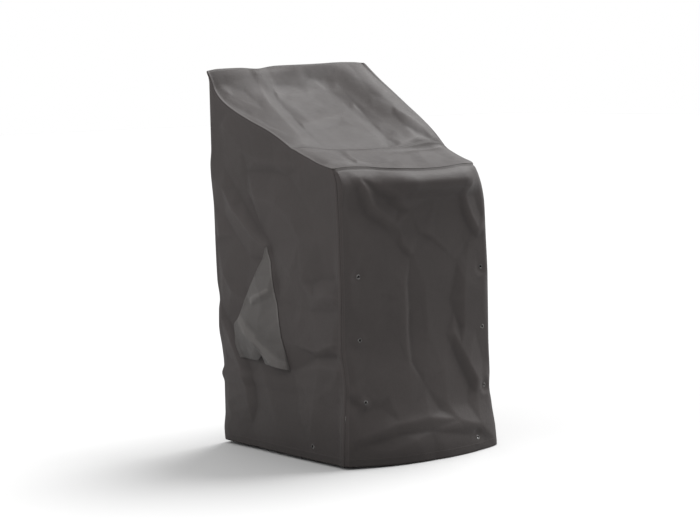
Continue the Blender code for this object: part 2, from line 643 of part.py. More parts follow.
left_facets = wall_facets(left_rows)
flap_rows = []
for t in FLAP_ROWS:
    left_edge = (table(FLAP_LEFT, t, 1), table(FLAP_LEFT, t, 2))
    right_edge = (table(FLAP_RIGHT, t, 1), table(FLAP_RIGHT, t, 2))
    row = []
    for k in range(FLAP_COLUMNS + 1):
        s = k / FLAP_COLUMNS
        rise = flap_rise(s, t)
        a = left_edge[0] + (right_edge[0] - left_edge[0]) * s - 1.2 * rise * (1 - t * 0.2)
        z = left_edge[1] + (right_edge[1] - left_edge[1]) * s
        if t == 1.0:
            z += 0.028 * soft(1 - abs(s - 0.50) / 0.16) + 0.006 * math.sin(9.0 * s)
        hit, normal, _, _ = left_facets.ray_cast(Vector((-1.0, a, z)), Vector((1.0, 0.0, 0.0)))
        x = hit.x - FLAP_CLOTH - SEAM - rise
        row.append((x, a, z))
    flap_rows.append(row)


def room_under(point):
    """Gap between the inner face of the flap and the wall behind one place."""
    hit, _, _, _ = left_facets.ray_cast(Vector((-1.0, point[1], point[2])), Vector((1.0, 0.0, 0.0)))
    return hit.x - (point[0] + FLAP_CLOTH)


# where the wall bulges between two places of the flap, the flap is moved out
for _ in range(6):
    for r in range(len(flap_rows) - 1):
        for c in range(FLAP_COLUMNS):
            cell = [(r, c), (r, c + 1), (r + 1, c), (r + 1, c + 1)]
            corners = [np.array(flap_rows[i][j]) for i, j in cell]
            short = 0.0
            for p in (0.0, 0.25, 0.5, 0.75, 1.0):
                for q in (0.0, 0.25, 0.5, 0.75, 1.0):
                    upper = corners[0] * (1 - q) + corners[1] * q
                    lower = corners[2] * (1 - q) + corners[3] * q
                    short = max(short, FLAP_GAP - room_under(upper * (1 - p) + lower * p))
            for i, j in cell:
                x, a, z = flap_rows[i][j]
                flap_rows[i][j] = (x - 0.5 * short, a, z)
vent_flap = sheet("vent_flap", flap_rows, True, FLAP_CLOTH, (0.090, 0.088, 0.086))

# ============================================================ eyelets
def ring_profile():
    """Outline of a two-piece eyelet beside its axis, at +X, going round."""
    bore, barrel, flange = EYELET_BORE_R, EYELET_HOLE_R - SEAM, EYELET_FLANGE_R
    half = CLOTH / 2 + SEAM
    return [
        (bore, half + 0.0004), (bore + 0.0005, half + EYELET_FLANGE_T), (flange - 0.0010, half + EYELET_FLANGE_T),
        (flange, half), (barrel, half), (barrel, -half),
        (flange, -half), (flange - 0.0010, -half - EYELET_FLANGE_T), (bore, -half - EYELET_FLANGE_T),
    ]


steel = material("eyelet_metal", (0.030, 0.029, 0.029), 0.42, 0.6)
for number, (middle, normal) in enumerate(ring_places, 1):
    turn = Vector(normal).to_track_quat("Z", "Y")
    centre = Vector(middle) - Vector(normal) * (CLOTH / 2)
    profile = ring_profile()
    count = len(profile)
    ring = mesh_object(f"eyelet_{number}", [(r, 0.0, h) for r, h in profile], [], parts)
    ring.data.clear_geometry()
    edges = [(k, (k + 1) % count) for k in range(count)]
    ring.data.from_pydata([(r, 0.0, h) for r, h in profile], edges, [])
    ring.data.materials.append(steel)
    screw = ring.modifiers.new("Turn", "SCREW")
    screw.axis = "Z"
    screw.steps = EYELET_STEPS
    screw.render_steps = EYELET_STEPS
    screw.use_merge_vertices = True
    screw.merge_threshold = 0.0001
    screw.use_normal_calculate = True
    screw.use_normal_flip = True
    ring.rotation_mode = "QUATERNION"
    ring.rotation_quaternion = turn
    ring.location = centre
    tool = mesh_object(f"hole_{number}", [(0, 0, 0)], [], cutters)
    tool.data.clear_geometry()
    around = [2 * math.pi * (k + 0.5) / EYELET_STEPS for k in range(EYELET_STEPS)]
    circle = [(EYELET_HOLE_R * math.cos(a), EYELET_HOLE_R * math.sin(a)) for a in around]
    points = [(x, y, h) for h in (-0.006, 0.006) for x, y in circle]
    sides = [(k, (k + 1) % EYELET_STEPS, (k + 1) % EYELET_STEPS + EYELET_STEPS, k + EYELET_STEPS) for k in range(EYELET_STEPS)]
    caps = [tuple(range(EYELET_STEPS))[::-1], tuple(range(EYELET_STEPS, 2 * EYELET_STEPS))]
    tool.data.from_pydata(points, [], sides + caps)
    tool.rotation_mode = "QUATERNION"
    tool.rotation_quaternion = turn
    tool.location = centre
    tool.hide_render = True
    tool.display_type = "WIRE"
    cloth = left_panel if number == len(ring_places) else front_panel
    cut = cloth.modifiers.new(f"Hole {number}", "BOOLEAN")
    cut.operation = "DIFFERENCE"
    cut.solver = "EXACT"
    cut.object = tool

# ============================================================ to the origin
bpy.context.view_layer.update()
low, high = [1e9] * 3, [-1e9] * 3
graph = bpy.context.evaluated_depsgraph_get()
for item in parts.objects:
    shown = item.evaluated_get(graph)
    for vertex in shown.to_mesh().vertices:
        place = shown.matrix_world @ vertex.co
        low = [min(a, b) for a, b in zip(low, place)]
        high = [max(a, b) for a, b in zip(high, place)]
    shown.to_mesh_clear()
shift = Vector(((low[0] + high[0]) / 2, (low[1] + high[1]) / 2, low[2]))
for item in list(parts.objects) + list(cutters.objects):
    item.location = Vector(item.location) - shift
bpy.context.view_layer.update()
print("shift", [round(v, 5) for v in shift], "size", [round(b - a, 4) for a, b in zip(low, high)])
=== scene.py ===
# %% [markdown]
# # Stacking chair cover
# A fitted cloth cover stands over a stack of garden chairs. It is cut from
# coated polyester: six flat panels are sewn into a tall box with a slanted top,
# and one loose flap hides a vent. The solids made earlier give the places of
# the panels. Here each panel is made again as a fine, creased sheet.

# %% Load the solids and keep their box
import math

import bpy
import numpy as np
from mathutils import Matrix, Vector
from mathutils.bvhtree import BVHTree
from mathutils.geometry import delaunay_2d_cdt


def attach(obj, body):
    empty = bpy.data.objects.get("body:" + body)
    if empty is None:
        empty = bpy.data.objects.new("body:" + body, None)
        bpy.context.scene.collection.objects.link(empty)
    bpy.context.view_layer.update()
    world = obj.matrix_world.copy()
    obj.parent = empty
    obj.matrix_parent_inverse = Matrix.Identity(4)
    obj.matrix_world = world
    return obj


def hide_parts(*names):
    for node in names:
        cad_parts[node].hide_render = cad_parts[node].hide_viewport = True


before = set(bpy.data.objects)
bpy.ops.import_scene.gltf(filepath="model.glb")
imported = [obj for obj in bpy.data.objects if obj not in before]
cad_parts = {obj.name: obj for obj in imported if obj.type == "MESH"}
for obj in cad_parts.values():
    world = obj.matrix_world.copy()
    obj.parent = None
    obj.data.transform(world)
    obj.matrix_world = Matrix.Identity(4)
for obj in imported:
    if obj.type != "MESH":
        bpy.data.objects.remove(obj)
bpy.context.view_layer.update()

# %% [markdown]
# ## Camera
# The eye stands at chest height, a little over six metres away, and looks at
# the upright edge between the front and the left side. A long lens at that
# distance keeps the upright edges nearly parallel.

# %% Place the camera
EYE = Vector((-4.1232, -4.9366, 1.2882))
YAW, PITCH, ROLL = math.radians(39.624), math.radians(5.875), math.radians(-1.21)

ahead = Vector((math.sin(YAW) * math.cos(PITCH), math.cos(YAW) * math.cos(PITCH), -math.sin(PITCH)))
level = Vector((math.cos(YAW), -math.sin(YAW), 0.0))
above = level.cross(ahead)
right_hand = math.cos(ROLL) * level + math.sin(ROLL) * above
overhead = -math.sin(ROLL) * level + math.cos(ROLL) * above

lens = bpy.data.cameras.new("camera")
lens.lens, lens.sensor_width = 97.7, 36.0
camera = bpy.data.objects.new("camera", lens)
bpy.context.scene.collection.objects.link(camera)
camera.matrix_world = Matrix((
    (right_hand.x, overhead.x, -ahead.x, EYE.x),
    (right_hand.y, overhead.y, -ahead.y, EYE.y),
    (right_hand.z, overhead.z, -ahead.z, EYE.z),
    (0.0, 0.0, 0.0, 1.0),
))
bpy.context.scene.camera = camera
print("camera at", [round(v, 3) for v in EYE])

# %% [markdown]
# ## Measures of the pattern
# A maker draws a cover from a few lines: the four upright corner seams, the
# line of the back edge, the crosswise seam of the top and the hem. Each line
# is a short table of heights and distances, so one number can be changed and
# the cloth follows. Distances are taken from the upright middle planes.

# %% Driving sizes, in metres
HALF = 0.330              # half of the width and half of the depth
CLOTH = 0.0012            # cloth of the panels
SEAM = 0.0003             # clear gap between two sewn pieces
RIM_GAP = CLOTH + SEAM    # from the top's outer face down to a wall's rim
CORNER_EASE = 0.0006      # a little more of that near the corners
TAIL = 0.0020             # slanted strip beside an upright seam
LIP = 0.0052              # level strip along the rim of the top
STEP = 0.0046             # spacing of the fine sheets
STEP_FAR = 0.0085         # spacing of the two sides that turn away
RING_FACE = 0.0010        # from a ring's centre to the outer face of the cloth
FRONT_TOP, BACK_TOP = 0.957, 1.300               # where the front and the back end
SLOPE_RUN, SHELF_RUN = 0.44, 0.19                # the two panels of the top, front to back
HELD_WALL, HELD_TOP = 0.006, 0.005               # strip that the stitching holds flat
FADE, FADE_EDGE, FADE_SEAM = 0.030, 0.026, 0.012   # run in which creases grow from there
PAD_SHIFT, PAD_FLAT = 0.040, 0.026               # reach of the cloth set flat round an eyelet
CORNER_RUN = 2.2          # run of a rounded corner, as a multiple of its drop
MOVE = np.array((0.01016, 0.03204, 0.01247))     # from the drawing to the frame

# %% Upright corner seams: height, reach in x, reach in y
FRONT_LEFT = [
    (0.000, 0.326, 0.322), (0.120, 0.325, 0.327), (0.250, 0.319, 0.329),
    (0.390, 0.327, 0.321), (0.550, 0.328, 0.327), (0.760, 0.330, 0.326),
    (0.900, 0.333, 0.322), (0.957, 0.334, 0.306),
]
FRONT_RIGHT = [
    (0.000, 0.315, 0.358), (0.070, 0.322, 0.340), (0.127, 0.322, 0.329),
    (0.185, 0.319, 0.323), (0.237, 0.322, 0.323), (0.350, 0.320, 0.322),
    (0.560, 0.320, 0.322), (0.700, 0.317, 0.319), (0.810, 0.315, 0.316),
    (0.863, 0.311, 0.310), (0.900, 0.306, 0.301), (0.930, 0.300, 0.290),
    (0.957, 0.291, 0.277),
]
BACK_LEFT = [
    (0.000, 0.327, 0.327), (0.040, 0.329, 0.328), (0.100, 0.325, 0.325),
    (0.200, 0.325, 0.325), (0.233, 0.331, 0.330), (0.262, 0.325, 0.325),
    (0.317, 0.328, 0.328), (0.400, 0.335, 0.335), (0.455, 0.334, 0.334),
    (0.490, 0.331, 0.331), (0.560, 0.336, 0.336), (0.680, 0.338, 0.338),
    (0.800, 0.339, 0.339), (0.950, 0.345, 0.345), (1.010, 0.342, 0.342),
    (1.230, 0.342, 0.342), (1.275, 0.348, 0.346),
]
BACK_RIGHT = [(0.000, 0.327, 0.327), (0.700, 0.333, 0.333), (1.290, 0.337, 0.337)]
ROUND_FRONT_LEFT = [(0.0, 0.004), (1.3, 0.004)]
ROUND_FRONT_RIGHT = [(0.000, 0.008), (0.600, 0.010), (0.800, 0.014), (0.900, 0.024), (0.957, 0.036)]
ROUND_BACK_LEFT = [(0.0, 0.006), (1.3, 0.005)]
ROUND_BACK_RIGHT = [(0.0, 0.008), (1.3, 0.006)]

# %% Heights of the slanted top, by rows from the back edge to the front edge
SLOPE_X = [0.00, 0.07, 0.21, 0.30, 0.44, 0.56, 0.645, 0.74, 0.87, 0.95, 1.00]
SLOPE = [
    (0.00, 1.273, 1.279, 1.281, 1.277, 1.286, 1.288, 1.289, 1.291, 1.294, 1.293, 1.290),
    (0.08, 1.205, 1.219, 1.238, 1.240, 1.238, 1.239, 1.240, 1.254, 1.277, 1.272, 1.264),
    (0.19, 1.167, 1.179, 1.196, 1.195, 1.190, 1.190, 1.192, 1.214, 1.246, 1.240, 1.231),
    (0.35, 1.134, 1.142, 1.156, 1.154, 1.150, 1.150, 1.152, 1.176, 1.209, 1.201, 1.188),
    (0.52, 1.106, 1.112, 1.120, 1.116, 1.111, 1.111, 1.113, 1.133, 1.168, 1.158, 1.142),
    (0.71, 1.078, 1.082, 1.083, 1.077, 1.071, 1.071, 1.073, 1.090, 1.119, 1.108, 1.092),
    (0.86, 1.050, 1.055, 1.050, 1.041, 1.035, 1.035, 1.037, 1.052, 1.073, 1.066, 1.048),
    (1.00, 1.018, 1.018, 1.008, 1.004, 1.001, 1.001, 1.003, 1.008, 1.016, 1.012, 0.996),
]
SHELF = [
    (0.00, *SLOPE[-1][1:]),
    (0.10, 1.012, 1.014, 1.003, 0.998, 0.994, 0.991, 0.989, 0.988, 0.992, 0.990, 0.986),
    (0.22, 1.003, 1.005, 0.994, 0.989, 0.986, 0.984, 0.984, 0.985, 0.988, 0.986, 0.978),
    (0.45, 0.988, 0.993, 0.984, 0.977, 0.972, 0.969, 0.968, 0.969, 0.972, 0.970, 0.964),
    (0.70, 0.971, 0.978, 0.974, 0.965, 0.959, 0.956, 0.954, 0.954, 0.958, 0.956, 0.952),
    (1.00, 0.957, 0.960, 0.957, 0.951, 0.945, 0.942, 0.942, 0.944, 0.948, 0.946, 0.943),
]
SEAM_Y = [(0.00, 0.105), (0.22, 0.112), (0.45, 0.124), (0.64, 0.130), (0.85, 0.112), (1.00, 0.104)]
BACK_NOTCH = (-0.135, 0.012, 0.045)   # dent of the back edge: place, depth, half width
SEAM_TILT, SEAM_TAIL = math.radians(23), 0.003   # fall and width of the strips at the crosswise seam

# %% Bulge of each wall in its middle, and the lie of the front hem
FLARE_FRONT = [
    (0.000, 0.074), (0.035, 0.077), (0.070, 0.073), (0.105, 0.060), (0.150, 0.044), (0.300, 0.024),
    (0.500, 0.013), (0.700, 0.008), (0.850, 0.010), (0.900, 0.010), (0.930, 0.006), (0.957, -0.004),
]
FRONT_ROLL = [
    (0.780, 0.000), (0.835, 0.009), (0.864, 0.034), (0.880, 0.050), (0.898, 0.056), (0.920, 0.049),
    (0.941, 0.027), (0.957, 0.000),
]
FLARE_LEFT = [
    (0.000, 0.000), (0.200, 0.000), (0.500, 0.003), (0.800, 0.006), (0.957, 0.006), (1.275, 0.012),
]
FLARE_RIGHT = [(0.000, 0.010), (0.300, 0.002), (0.900, 0.004), (1.290, 0.006)]
FLARE_BACK = [(0.000, 0.012), (0.300, 0.004), (0.900, 0.008), (1.290, 0.006)]
HEM_FRONT = [(0.00, -0.003), (0.20, -0.007), (0.50, -0.010), (0.78, -0.012), (0.92, -0.012), (1.00, -0.010)]

# %% [markdown]
# ## Reading the tables
# The tables hold a few points of each line. A curve through them that never
# swings past its own points keeps the cloth from bulging between two rows.

# %% A curve through the rows of a table
def curve(xs, ys, x):
    """Smooth reading that stays between neighbouring points."""
    xs, ys, x = np.asarray(xs, float), np.asarray(ys, float), np.asarray(x, float)
    width = np.diff(xs)
    rise = np.diff(ys, axis=0) / (width if ys.ndim == 1 else width[:, None])
    slope = np.zeros_like(ys)
    slope[0], slope[-1] = rise[0], rise[-1]
    same = rise[:-1] * rise[1:] > 0
    total = np.where(same, rise[:-1] + rise[1:], 1.0)
    slope[1:-1] = np.where(same, 2 * rise[:-1] * rise[1:] / total, 0.0)
    k = np.clip(np.searchsorted(xs, x, side="right") - 1, 0, len(xs) - 2)
    t = np.clip((x - xs[k]) / width[k], 0.0, 1.0)
    w = width[k]
    if ys.ndim == 2:
        t, w = t[:, None], w[:, None]
    return (
        ys[k] * (1 + 2 * t) * (1 - t) ** 2 + slope[k] * w * t * (1 - t) ** 2
        + ys[k + 1] * t * t * (3 - 2 * t) - slope[k + 1] * w * t * t * (1 - t)
    )


def read(rows, x, column=1):
    """One column of a table at any height."""
    return curve([row[0] for row in rows], [row[column] for row in rows], x)


def soft(t):
    """Smooth step from 0 to 1."""
    t = np.clip(t, 0.0, 1.0)
    return t * t * (3.0 - 2.0 * t)


print("front left seam at 1 m from the hem:", round(float(read(FRONT_LEFT, 0.95)), 4))

# %% [markdown]
# ## Folds and flat facets
# Coated cloth is stiff. It doesn't ripple like silk: it breaks into flat
# facets with narrow creases between them. A net of facets draws that: it gives
# heights at a few places, joins them with triangles, and leaves a crease along
# each edge. The main creases are given one by one, each as a row of places with
# how far the cloth stands off there. Small nets fill the cloth between them.

# %% A net of facets over a rectangle
def scatter(i, j, seed):
    """A fixed uneven number from -1 to 1 for a pair of whole numbers."""
    value = math.sin(i * 127.1 + j * 311.7 + seed * 74.7) * 43758.5453
    return 2.0 * (value - math.floor(value)) - 1.0


def facets(places, heights, edges, a, z):
    """Join the places with triangles and read their heights at a and z."""
    net = delaunay_2d_cdt([Vector(p) for p in places], edges, [], 0, 1e-6, True)
    points = np.array([(p.x, p.y) for p in net[0]])
    value = np.array([heights[source[0]] if source else np.nan for source in net[3]])
    for (low, high), sources in zip(net[1], net[4]):
        for end in (low, high):
            for source in sources:
                if np.isnan(value[end]) and source < len(edges):
                    first, last = (np.array(places[k]) for k in edges[source])
                    part = np.linalg.norm(points[end] - first) / np.linalg.norm(last - first)
                    value[end] = heights[edges[source][0]] * (1 - part) + heights[edges[source][1]] * part
    value = np.nan_to_num(value)
    out = np.zeros_like(a)
    for corner in net[2]:
        (ax, ay), (bx, by), (cx, cy) = points[list(corner)]
        near = (a >= min(ax, bx, cx)) & (a <= max(ax, bx, cx))
        near &= (z >= min(ay, by, cy)) & (z <= max(ay, by, cy))
        turn = (by - cy) * (ax - cx) + (cx - bx) * (ay - cy)
        if abs(turn) < 1e-12 or not near.any():
            continue
        p, q = a[near], z[near]
        u = ((by - cy) * (p - cx) + (cx - bx) * (q - cy)) / turn
        v = ((cy - ay) * (p - cx) + (ax - cx) * (q - cy)) / turn
        w = 1 - u - v
        inside = (u >= -1e-6) & (v >= -1e-6) & (w >= -1e-6)
        held = out[near]
        held[inside] = (u * value[corner[0]] + v * value[corner[1]] + w * value[corner[2]])[inside]
        out[near] = held
    return out


def crease_net(lines, strength=1.0):
    """Places, heights and edges of creases that are given in millimetres."""
    places, heights, edges = [], [], []
    for line in lines:
        for k, (pa, pz, out) in enumerate(line):
            if k:
                edges.append((len(places) - 1, len(places)))
            places.append((pa / 1000, pz / 1000))
            heights.append(out / 1000 * strength)
    return places, heights, edges


def facet_net(a, z, cell, lift, seed, lines=(), strength=1.0):
    """Uneven facets of about one cell across, between the given creases."""
    low_a, low_z = float(a.min()) - cell, float(z.min()) - cell
    places, heights, edges = crease_net(lines, strength)
    given = np.array(places) if places else np.full((1, 2), 99.0)
    for i in range(int((float(a.max()) + cell - low_a) / cell) + 1):
        for j in range(int((float(z.max()) + cell - low_z) / cell) + 1):
            pa = low_a + (i + 0.5 + 0.42 * scatter(i, j, seed)) * cell
            pz = low_z + (j + 0.5 + 0.42 * scatter(i, j, seed + 5)) * cell
            if np.hypot(given[:, 0] - pa, given[:, 1] - pz).min() > 0.5 * cell:
                places.append((pa, pz))
                heights.append(lift * scatter(i, j, seed + 9))
    return facets(places, heights, edges, a, z)


def patchy(a, z, cell, seed):
    """Soft patches from 0 to 1, to keep small creases from covering a panel."""
    turn = 0.6 + seed
    p = (a * math.cos(turn) + z * math.sin(turn)) / cell
    q = (z * math.cos(turn) - a * math.sin(turn)) / cell
    wave = np.sin(p * 3.1 + 1.7 * np.sin(q * 2.3 + seed)) + np.sin(q * 2.7 + 1.3 * np.sin(p * 1.9 - seed))
    return soft((wave + 0.5) / 2.0)


def eased(height, rounds):
    """Round the creases a little: average of each place with its neighbours."""
    for _ in range(rounds):
        wide = np.pad(height, 1, mode="edge")
        beside = wide[:-2, 1:-1] + wide[2:, 1:-1] + wide[1:-1, :-2] + wide[1:-1, 2:]
        height = 0.5 * height + 0.125 * beside
    return height


# %% [markdown]
# ## Creases of the walls
# The left side hangs from the high back edge, so its long creases run down and
# to the front. The front is pulled sideways by its full upper edge. Each row is
# one crease. Each place in it gives the distance along the wall, the height and
# how far the cloth stands out there, all in millimetres.

# %% Creases of the left side: depth, height, stand-off
LEFT_CREASES = [
    [(173, 915, -2), (130, 937, -3), (-21, 941, -3), (-84, 930, -3)],  # upper lobe, top
    [(-84, 930, -3), (-145, 867, -1), (-194, 804, 1), (-222, 725, 2)],  # upper lobe, front
    [(93, 848, 4), (-16, 836, 7), (-95, 793, 7), (-139, 720, 5), (-115, 627, 2)],  # upper lobe, crest
    # upper lobe, hollow
    [(173, 915, -2), (136, 873, -4), (110, 820, -5), (74, 755, -5), (27, 701, -4), (14, 639, -5),
     (-9, 514, -5)],
    [(198, 878, -3), (166, 835, -4), (128, 789, -4), (86, 745, -4), (38, 714, -4)],  # pulled band, inner
    # pulled band, crest
    [(272, 875, 3), (218, 812, 8), (152, 765, 9), (109, 727, 8), (50, 693, 5), (28, 678, 0)],
    [(265, 783, 0), (199, 715, 0), (134, 651, -1), (161, 551, 0)],  # below the band
    [(319, 619, 0), (286, 586, 5), (242, 524, 6), (261, 495, 3), (314, 477, 0)],  # back edge, upper facet
    [(319, 756, 3), (303, 723, 4), (316, 695, 0)],  # back edge, dimple
    # back edge, long crest
    [(311, 425, 1), (256, 354, 8), (214, 272, 9), (183, 196, 8), (174, 139, 6), (229, 66, 2)],
    # back edge, long hollow
    [(276, 428, -3), (221, 354, -3), (179, 283, -3), (148, 207, -3), (134, 144, -2), (160, 75, -1)],
    [(298, 329, 3), (269, 318, 6), (282, 292, 3)],  # back edge, small crest
    [(301, 133, 4), (279, 101, 5), (287, 65, 2)],  # foot, back
    [(-77, 608, 2.5), (-141, 618, 2.5)],  # small pucker 1
    [(-92, 583, 2), (-139, 582, 2)],  # small pucker 2
    [(-186, 580, -3), (-238, 600, -5), (-304, 605, -6)],  # front hollow 1
    [(-195, 538, 3), (-252, 546, 6), (-312, 541, 5)],  # front crest 1
    [(-167, 490, -2), (-301, 499, -2)],  # front hollow 2
    [(-199, 359, 3), (-261, 382, 6), (-322, 399, 6)],  # front crest 2
    [(-198, 339, -4), (-260, 346, -6), (-321, 352, -6)],  # front hollow 3
    [(-207, 311, 3), (-309, 309, 3)],  # front crest 3
    [(-58, 278, -4), (-77, 213, -4), (-90, 138, -2)],  # below flap, hollow
    [(95, 261, 1), (65, 186, 2), (24, 106, 3)],  # below flap, crest
    [(-241, 233, 2), (-285, 179, -4), (-291, 82, -5)],  # foot, front
    [(152, 1007, 3), (65, 975, 4), (-32, 968, 3)],  # high, near the rim
]

# %% Creases of the front: width, height, stand-off
FRONT_CREASES = [
    # upper left, valley 1
    [(-290, 919, -1), (-270, 886, -4), (-250, 847, -5), (-222, 803, -5), (-181, 778, -4), (-135, 746, -3)],
    # upper left, crest 1
    [(-256, 924, 3), (-237, 884, 7), (-217, 848, 8), (-192, 818, 8), (-150, 795, 7), (-108, 767, 4),
     (-87, 742, 1)],
    [(-232, 910, -1), (-191, 875, -3), (-136, 843, -4), (-90, 814, -3)],  # upper left, valley 2
    [(-207, 908, 3), (-165, 890, 6), (-115, 864, 6), (-72, 829, 5), (-43, 805, 1)],  # upper left, crest 2
    [(-93, 697, -3), (-68, 672, -3), (-46, 654, -1)],  # small 3
    [(-75, 702, 3), (-50, 681, 4), (-29, 659, 1)],  # small 3 crest
    [(4, 736, 2), (35, 727, 4), (65, 708, 2)],  # centre line 4 crest
    [(-5, 727, -1), (30, 714, -2), (61, 699, -1)],  # centre line 4 valley
    [(-72, 571, 2), (-71, 449, 3), (-70, 310, 2)],  # centre fold, crest
    [(-57, 570, -3), (-53, 447, -5), (-54, 308, -3)],  # centre fold, valley
    [(17, 556, 1), (23, 406, 1), (-7, 269, 0)],  # centre fold, far
    [(163, 868, -3), (185, 810, -4), (211, 755, -4), (238, 716, -3), (265, 694, -1)],  # upper right, valley
    [(190, 860, 3), (212, 805, 7), (239, 760, 8), (266, 724, 6)],  # upper right, crest
    [(218, 898, -2), (249, 836, -3), (281, 774, -2)],  # upper right, corner
    [(163, 621, 0), (143, 535, -3), (128, 499, -4), (145, 454, -4), (167, 405, -3)],  # right side, valley
    [(208, 630, 4), (193, 558, 8), (187, 497, 8), (190, 402, 4)],  # right side, crest
    [(103, 384, -2), (134, 327, -4), (164, 269, -5), (200, 200, -5), (180, 145, -3)],  # right lower, valley
    # right lower, crest
    [(139, 387, 3), (166, 337, 7), (197, 283, 9), (233, 224, 10), (260, 200, 7), (227, 170, 5),
     (208, 131, 2)],
    [(254, 586, 3), (271, 517, 6), (265, 466, 4), (240, 383, 1)],  # right edge
    [(-316, 271, 4), (-300, 243, 6), (-267, 222, 4), (-208, 208, 2)],  # lower left, crest
    [(-321, 229, -4), (-293, 203, -5), (-259, 187, -4), (-200, 178, -2)],  # lower left, valley
    [(-310, 176, 3), (-317, 86, 3)],  # lower left, foot
    [(-165, 213, 3), (-133, 126, 4)],  # lower middle 1
    [(-8, 226, -3), (44, 142, -3)],  # lower middle 2
    [(80, 158, 2), (106, 93, 3)],  # lower middle 3
    [(-267, 64, -5), (-147, 82, -7), (-16, 81, -7), (118, 55, -7), (218, 31, -5)],  # hem arch, hollow
    [(-283, 89, 2), (-155, 120, 5), (-15, 127, 6), (119, 102, 5), (219, 72, 3)],  # hem arch, crest
]

# %% Creases of the two sides that turn away: both ends, and the stand-off
BACK_FOLDS = [
    (-180, 1180, 60, 900, 9), (60, 900, 120, 700, 8), (200, 800, 150, 300, 10),
    (-120, 520, -160, 80, -9), (-250, 980, -200, 700, 7), (280, 1150, 190, 1020, 6),
    (-300, 360, -200, 300, -6), (60, 260, 100, 50, 7),
]
RIGHT_FOLDS = [
    (-200, 860, 20, 700, 9), (20, 700, 60, 520, 7), (180, 1000, 220, 500, 10),
    (-60, 480, -40, 60, -9), (300, 420, 200, 330, 7), (-290, 520, -180, 440, 6),
    (100, 240, 140, 50, 7),
]
ASIDE = 18   # how far the middle of a fold is pushed aside


def bent(folds, turn):
    """Creases with a high middle, which is pushed aside by turns."""
    creases = []
    for k, (a0, z0, a1, z1, deep) in enumerate(folds):
        aside = ASIDE if (k + turn) % 2 else -ASIDE
        part = 0.42 + 0.04 * ((3 * k + turn) % 5)
        middle = (round(a0 + (a1 - a0) * part + aside), round(z0 + (z1 - z0) * part))
        low, high, mid = (round(0.75 * share * deep, 1) for share in (0.35, 1.0, 0.45))
        creases.append([(a0, z0, low), (*middle, high), (a1, z1, mid)])
    return creases


BACK_CREASES, RIGHT_CREASES = bent(BACK_FOLDS, 1), bent(RIGHT_FOLDS, 2)
print("creases given:", len(LEFT_CREASES), len(FRONT_CREASES), len(BACK_CREASES), len(RIGHT_CREASES))

# %% [markdown]
# ## The upright walls
# A wall is measured as a height map: for each place along it and each height,
# how far the outer face stands from the middle plane. The two seams give the
# ends, the bulge and the creases fill the middle, and the creases fade out
# beside the seams, where the stitching holds the cloth.

# %% One upright panel
class Wall:
    """An upright panel, from its seam at -along to its seam at +along."""

    def __init__(self, name, face, corners, flare, creases, seed):
        self.name, self.face = name, face
        (self.first, self.first_round), (self.last, self.last_round) = corners
        self.flare, self.creases, self.seed = flare, creases, seed
        self.upright_x = name in ("front", "back")
        self.out_column = 2 if self.upright_x else 1
        self.along_column = 1 if self.upright_x else 2
        self.pads = []

    def span(self, z):
        """The two ends of the wall at each height."""
        return -read(self.first, z, self.along_column), read(self.last, z, self.along_column)

    def hem(self, u):
        """Height of the hem."""
        u = np.asarray(u, float)
        if self.name == "front":
            return read(HEM_FRONT, u)
        if self.name == "back":
            return 0.0 * u
        return (HEM_FRONT[0][1] if self.name == "left" else HEM_FRONT[-1][1]) * (1 - u)

    def reach(self, a, z, top, shape=None):
        """Distance of the outer face from the middle plane."""
        low, high = self.span(z)
        u = np.clip((a - low) / (high - low), 0.0, 1.0)
        drop_a, drop_b = read(self.first_round, z), read(self.last_round, z)
        flat = (read(self.first, z, self.out_column) + drop_a) * (1 - u)
        flat = flat + (read(self.last, z, self.out_column) + drop_b) * u
        flat = flat + read(self.flare, z) * (4.0 * u * (1.0 - u)) ** 0.8
        for drop, gap in ((drop_a, a - low), (drop_b, high - a)):
            flat = flat - drop * np.clip(1 - gap / (CORNER_RUN * drop), 0, None) ** 2
        if self.name == "front":   # a roll that is weak at the left and gone at the right seam
            full = 0.25 + 0.75 * soft((u - 0.20) / 0.25)
            flat = flat + read(FRONT_ROLL, z) * full * soft((1 - u) / 0.22)
        if self.name == "back":
            at, deep, wide = BACK_NOTCH
            flat = flat - deep * soft(1 - np.abs(a - at) / wide) * soft((z - 1.20) / 0.07)
        if shape is not None:
            edge = soft((np.minimum(a - low, high - a) - HELD_WALL) / FADE)
            flat = flat + edge * soft((top - z - HELD_WALL) / FADE) * shape
        return flat

    def place(self, a, reach, z):
        """Points in space from along, reach and height."""
        parts = (a, self.face * reach, z) if self.upright_x else (self.face * reach, a, z)
        return np.stack(parts, axis=-1)


FL_CORNER, FR_CORNER = (FRONT_LEFT, ROUND_FRONT_LEFT), (FRONT_RIGHT, ROUND_FRONT_RIGHT)
BL_CORNER, BR_CORNER = (BACK_LEFT, ROUND_BACK_LEFT), (BACK_RIGHT, ROUND_BACK_RIGHT)
FRONT = Wall("front", -1, (FL_CORNER, FR_CORNER), FLARE_FRONT, FRONT_CREASES, 1)
BACK = Wall("back", 1, (BL_CORNER, BR_CORNER), FLARE_BACK, BACK_CREASES, 2)
LEFT = Wall("left", -1, (FL_CORNER, BL_CORNER), FLARE_LEFT, LEFT_CREASES, 3)
RIGHT = Wall("right", 1, (FR_CORNER, BR_CORNER), FLARE_RIGHT, RIGHT_CREASES, 4)

# %% Where the eyelets sit, from the solids
class Eyelet:
    """Centre, outward normal and wall of one ring."""

    def __init__(self, name):
        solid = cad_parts[name].data
        points = np.array([tuple(v.co) for v in solid.vertices])
        self.name, self.centre = name, points.mean(axis=0)
        axis = np.linalg.svd(points - self.centre, full_matrices=False)[2][2]
        self.wall = FRONT if abs(axis[1]) > abs(axis[0]) else LEFT
        self.normal = axis * (-1.0 if axis[1 if self.wall is FRONT else 0] > 0 else 1.0)


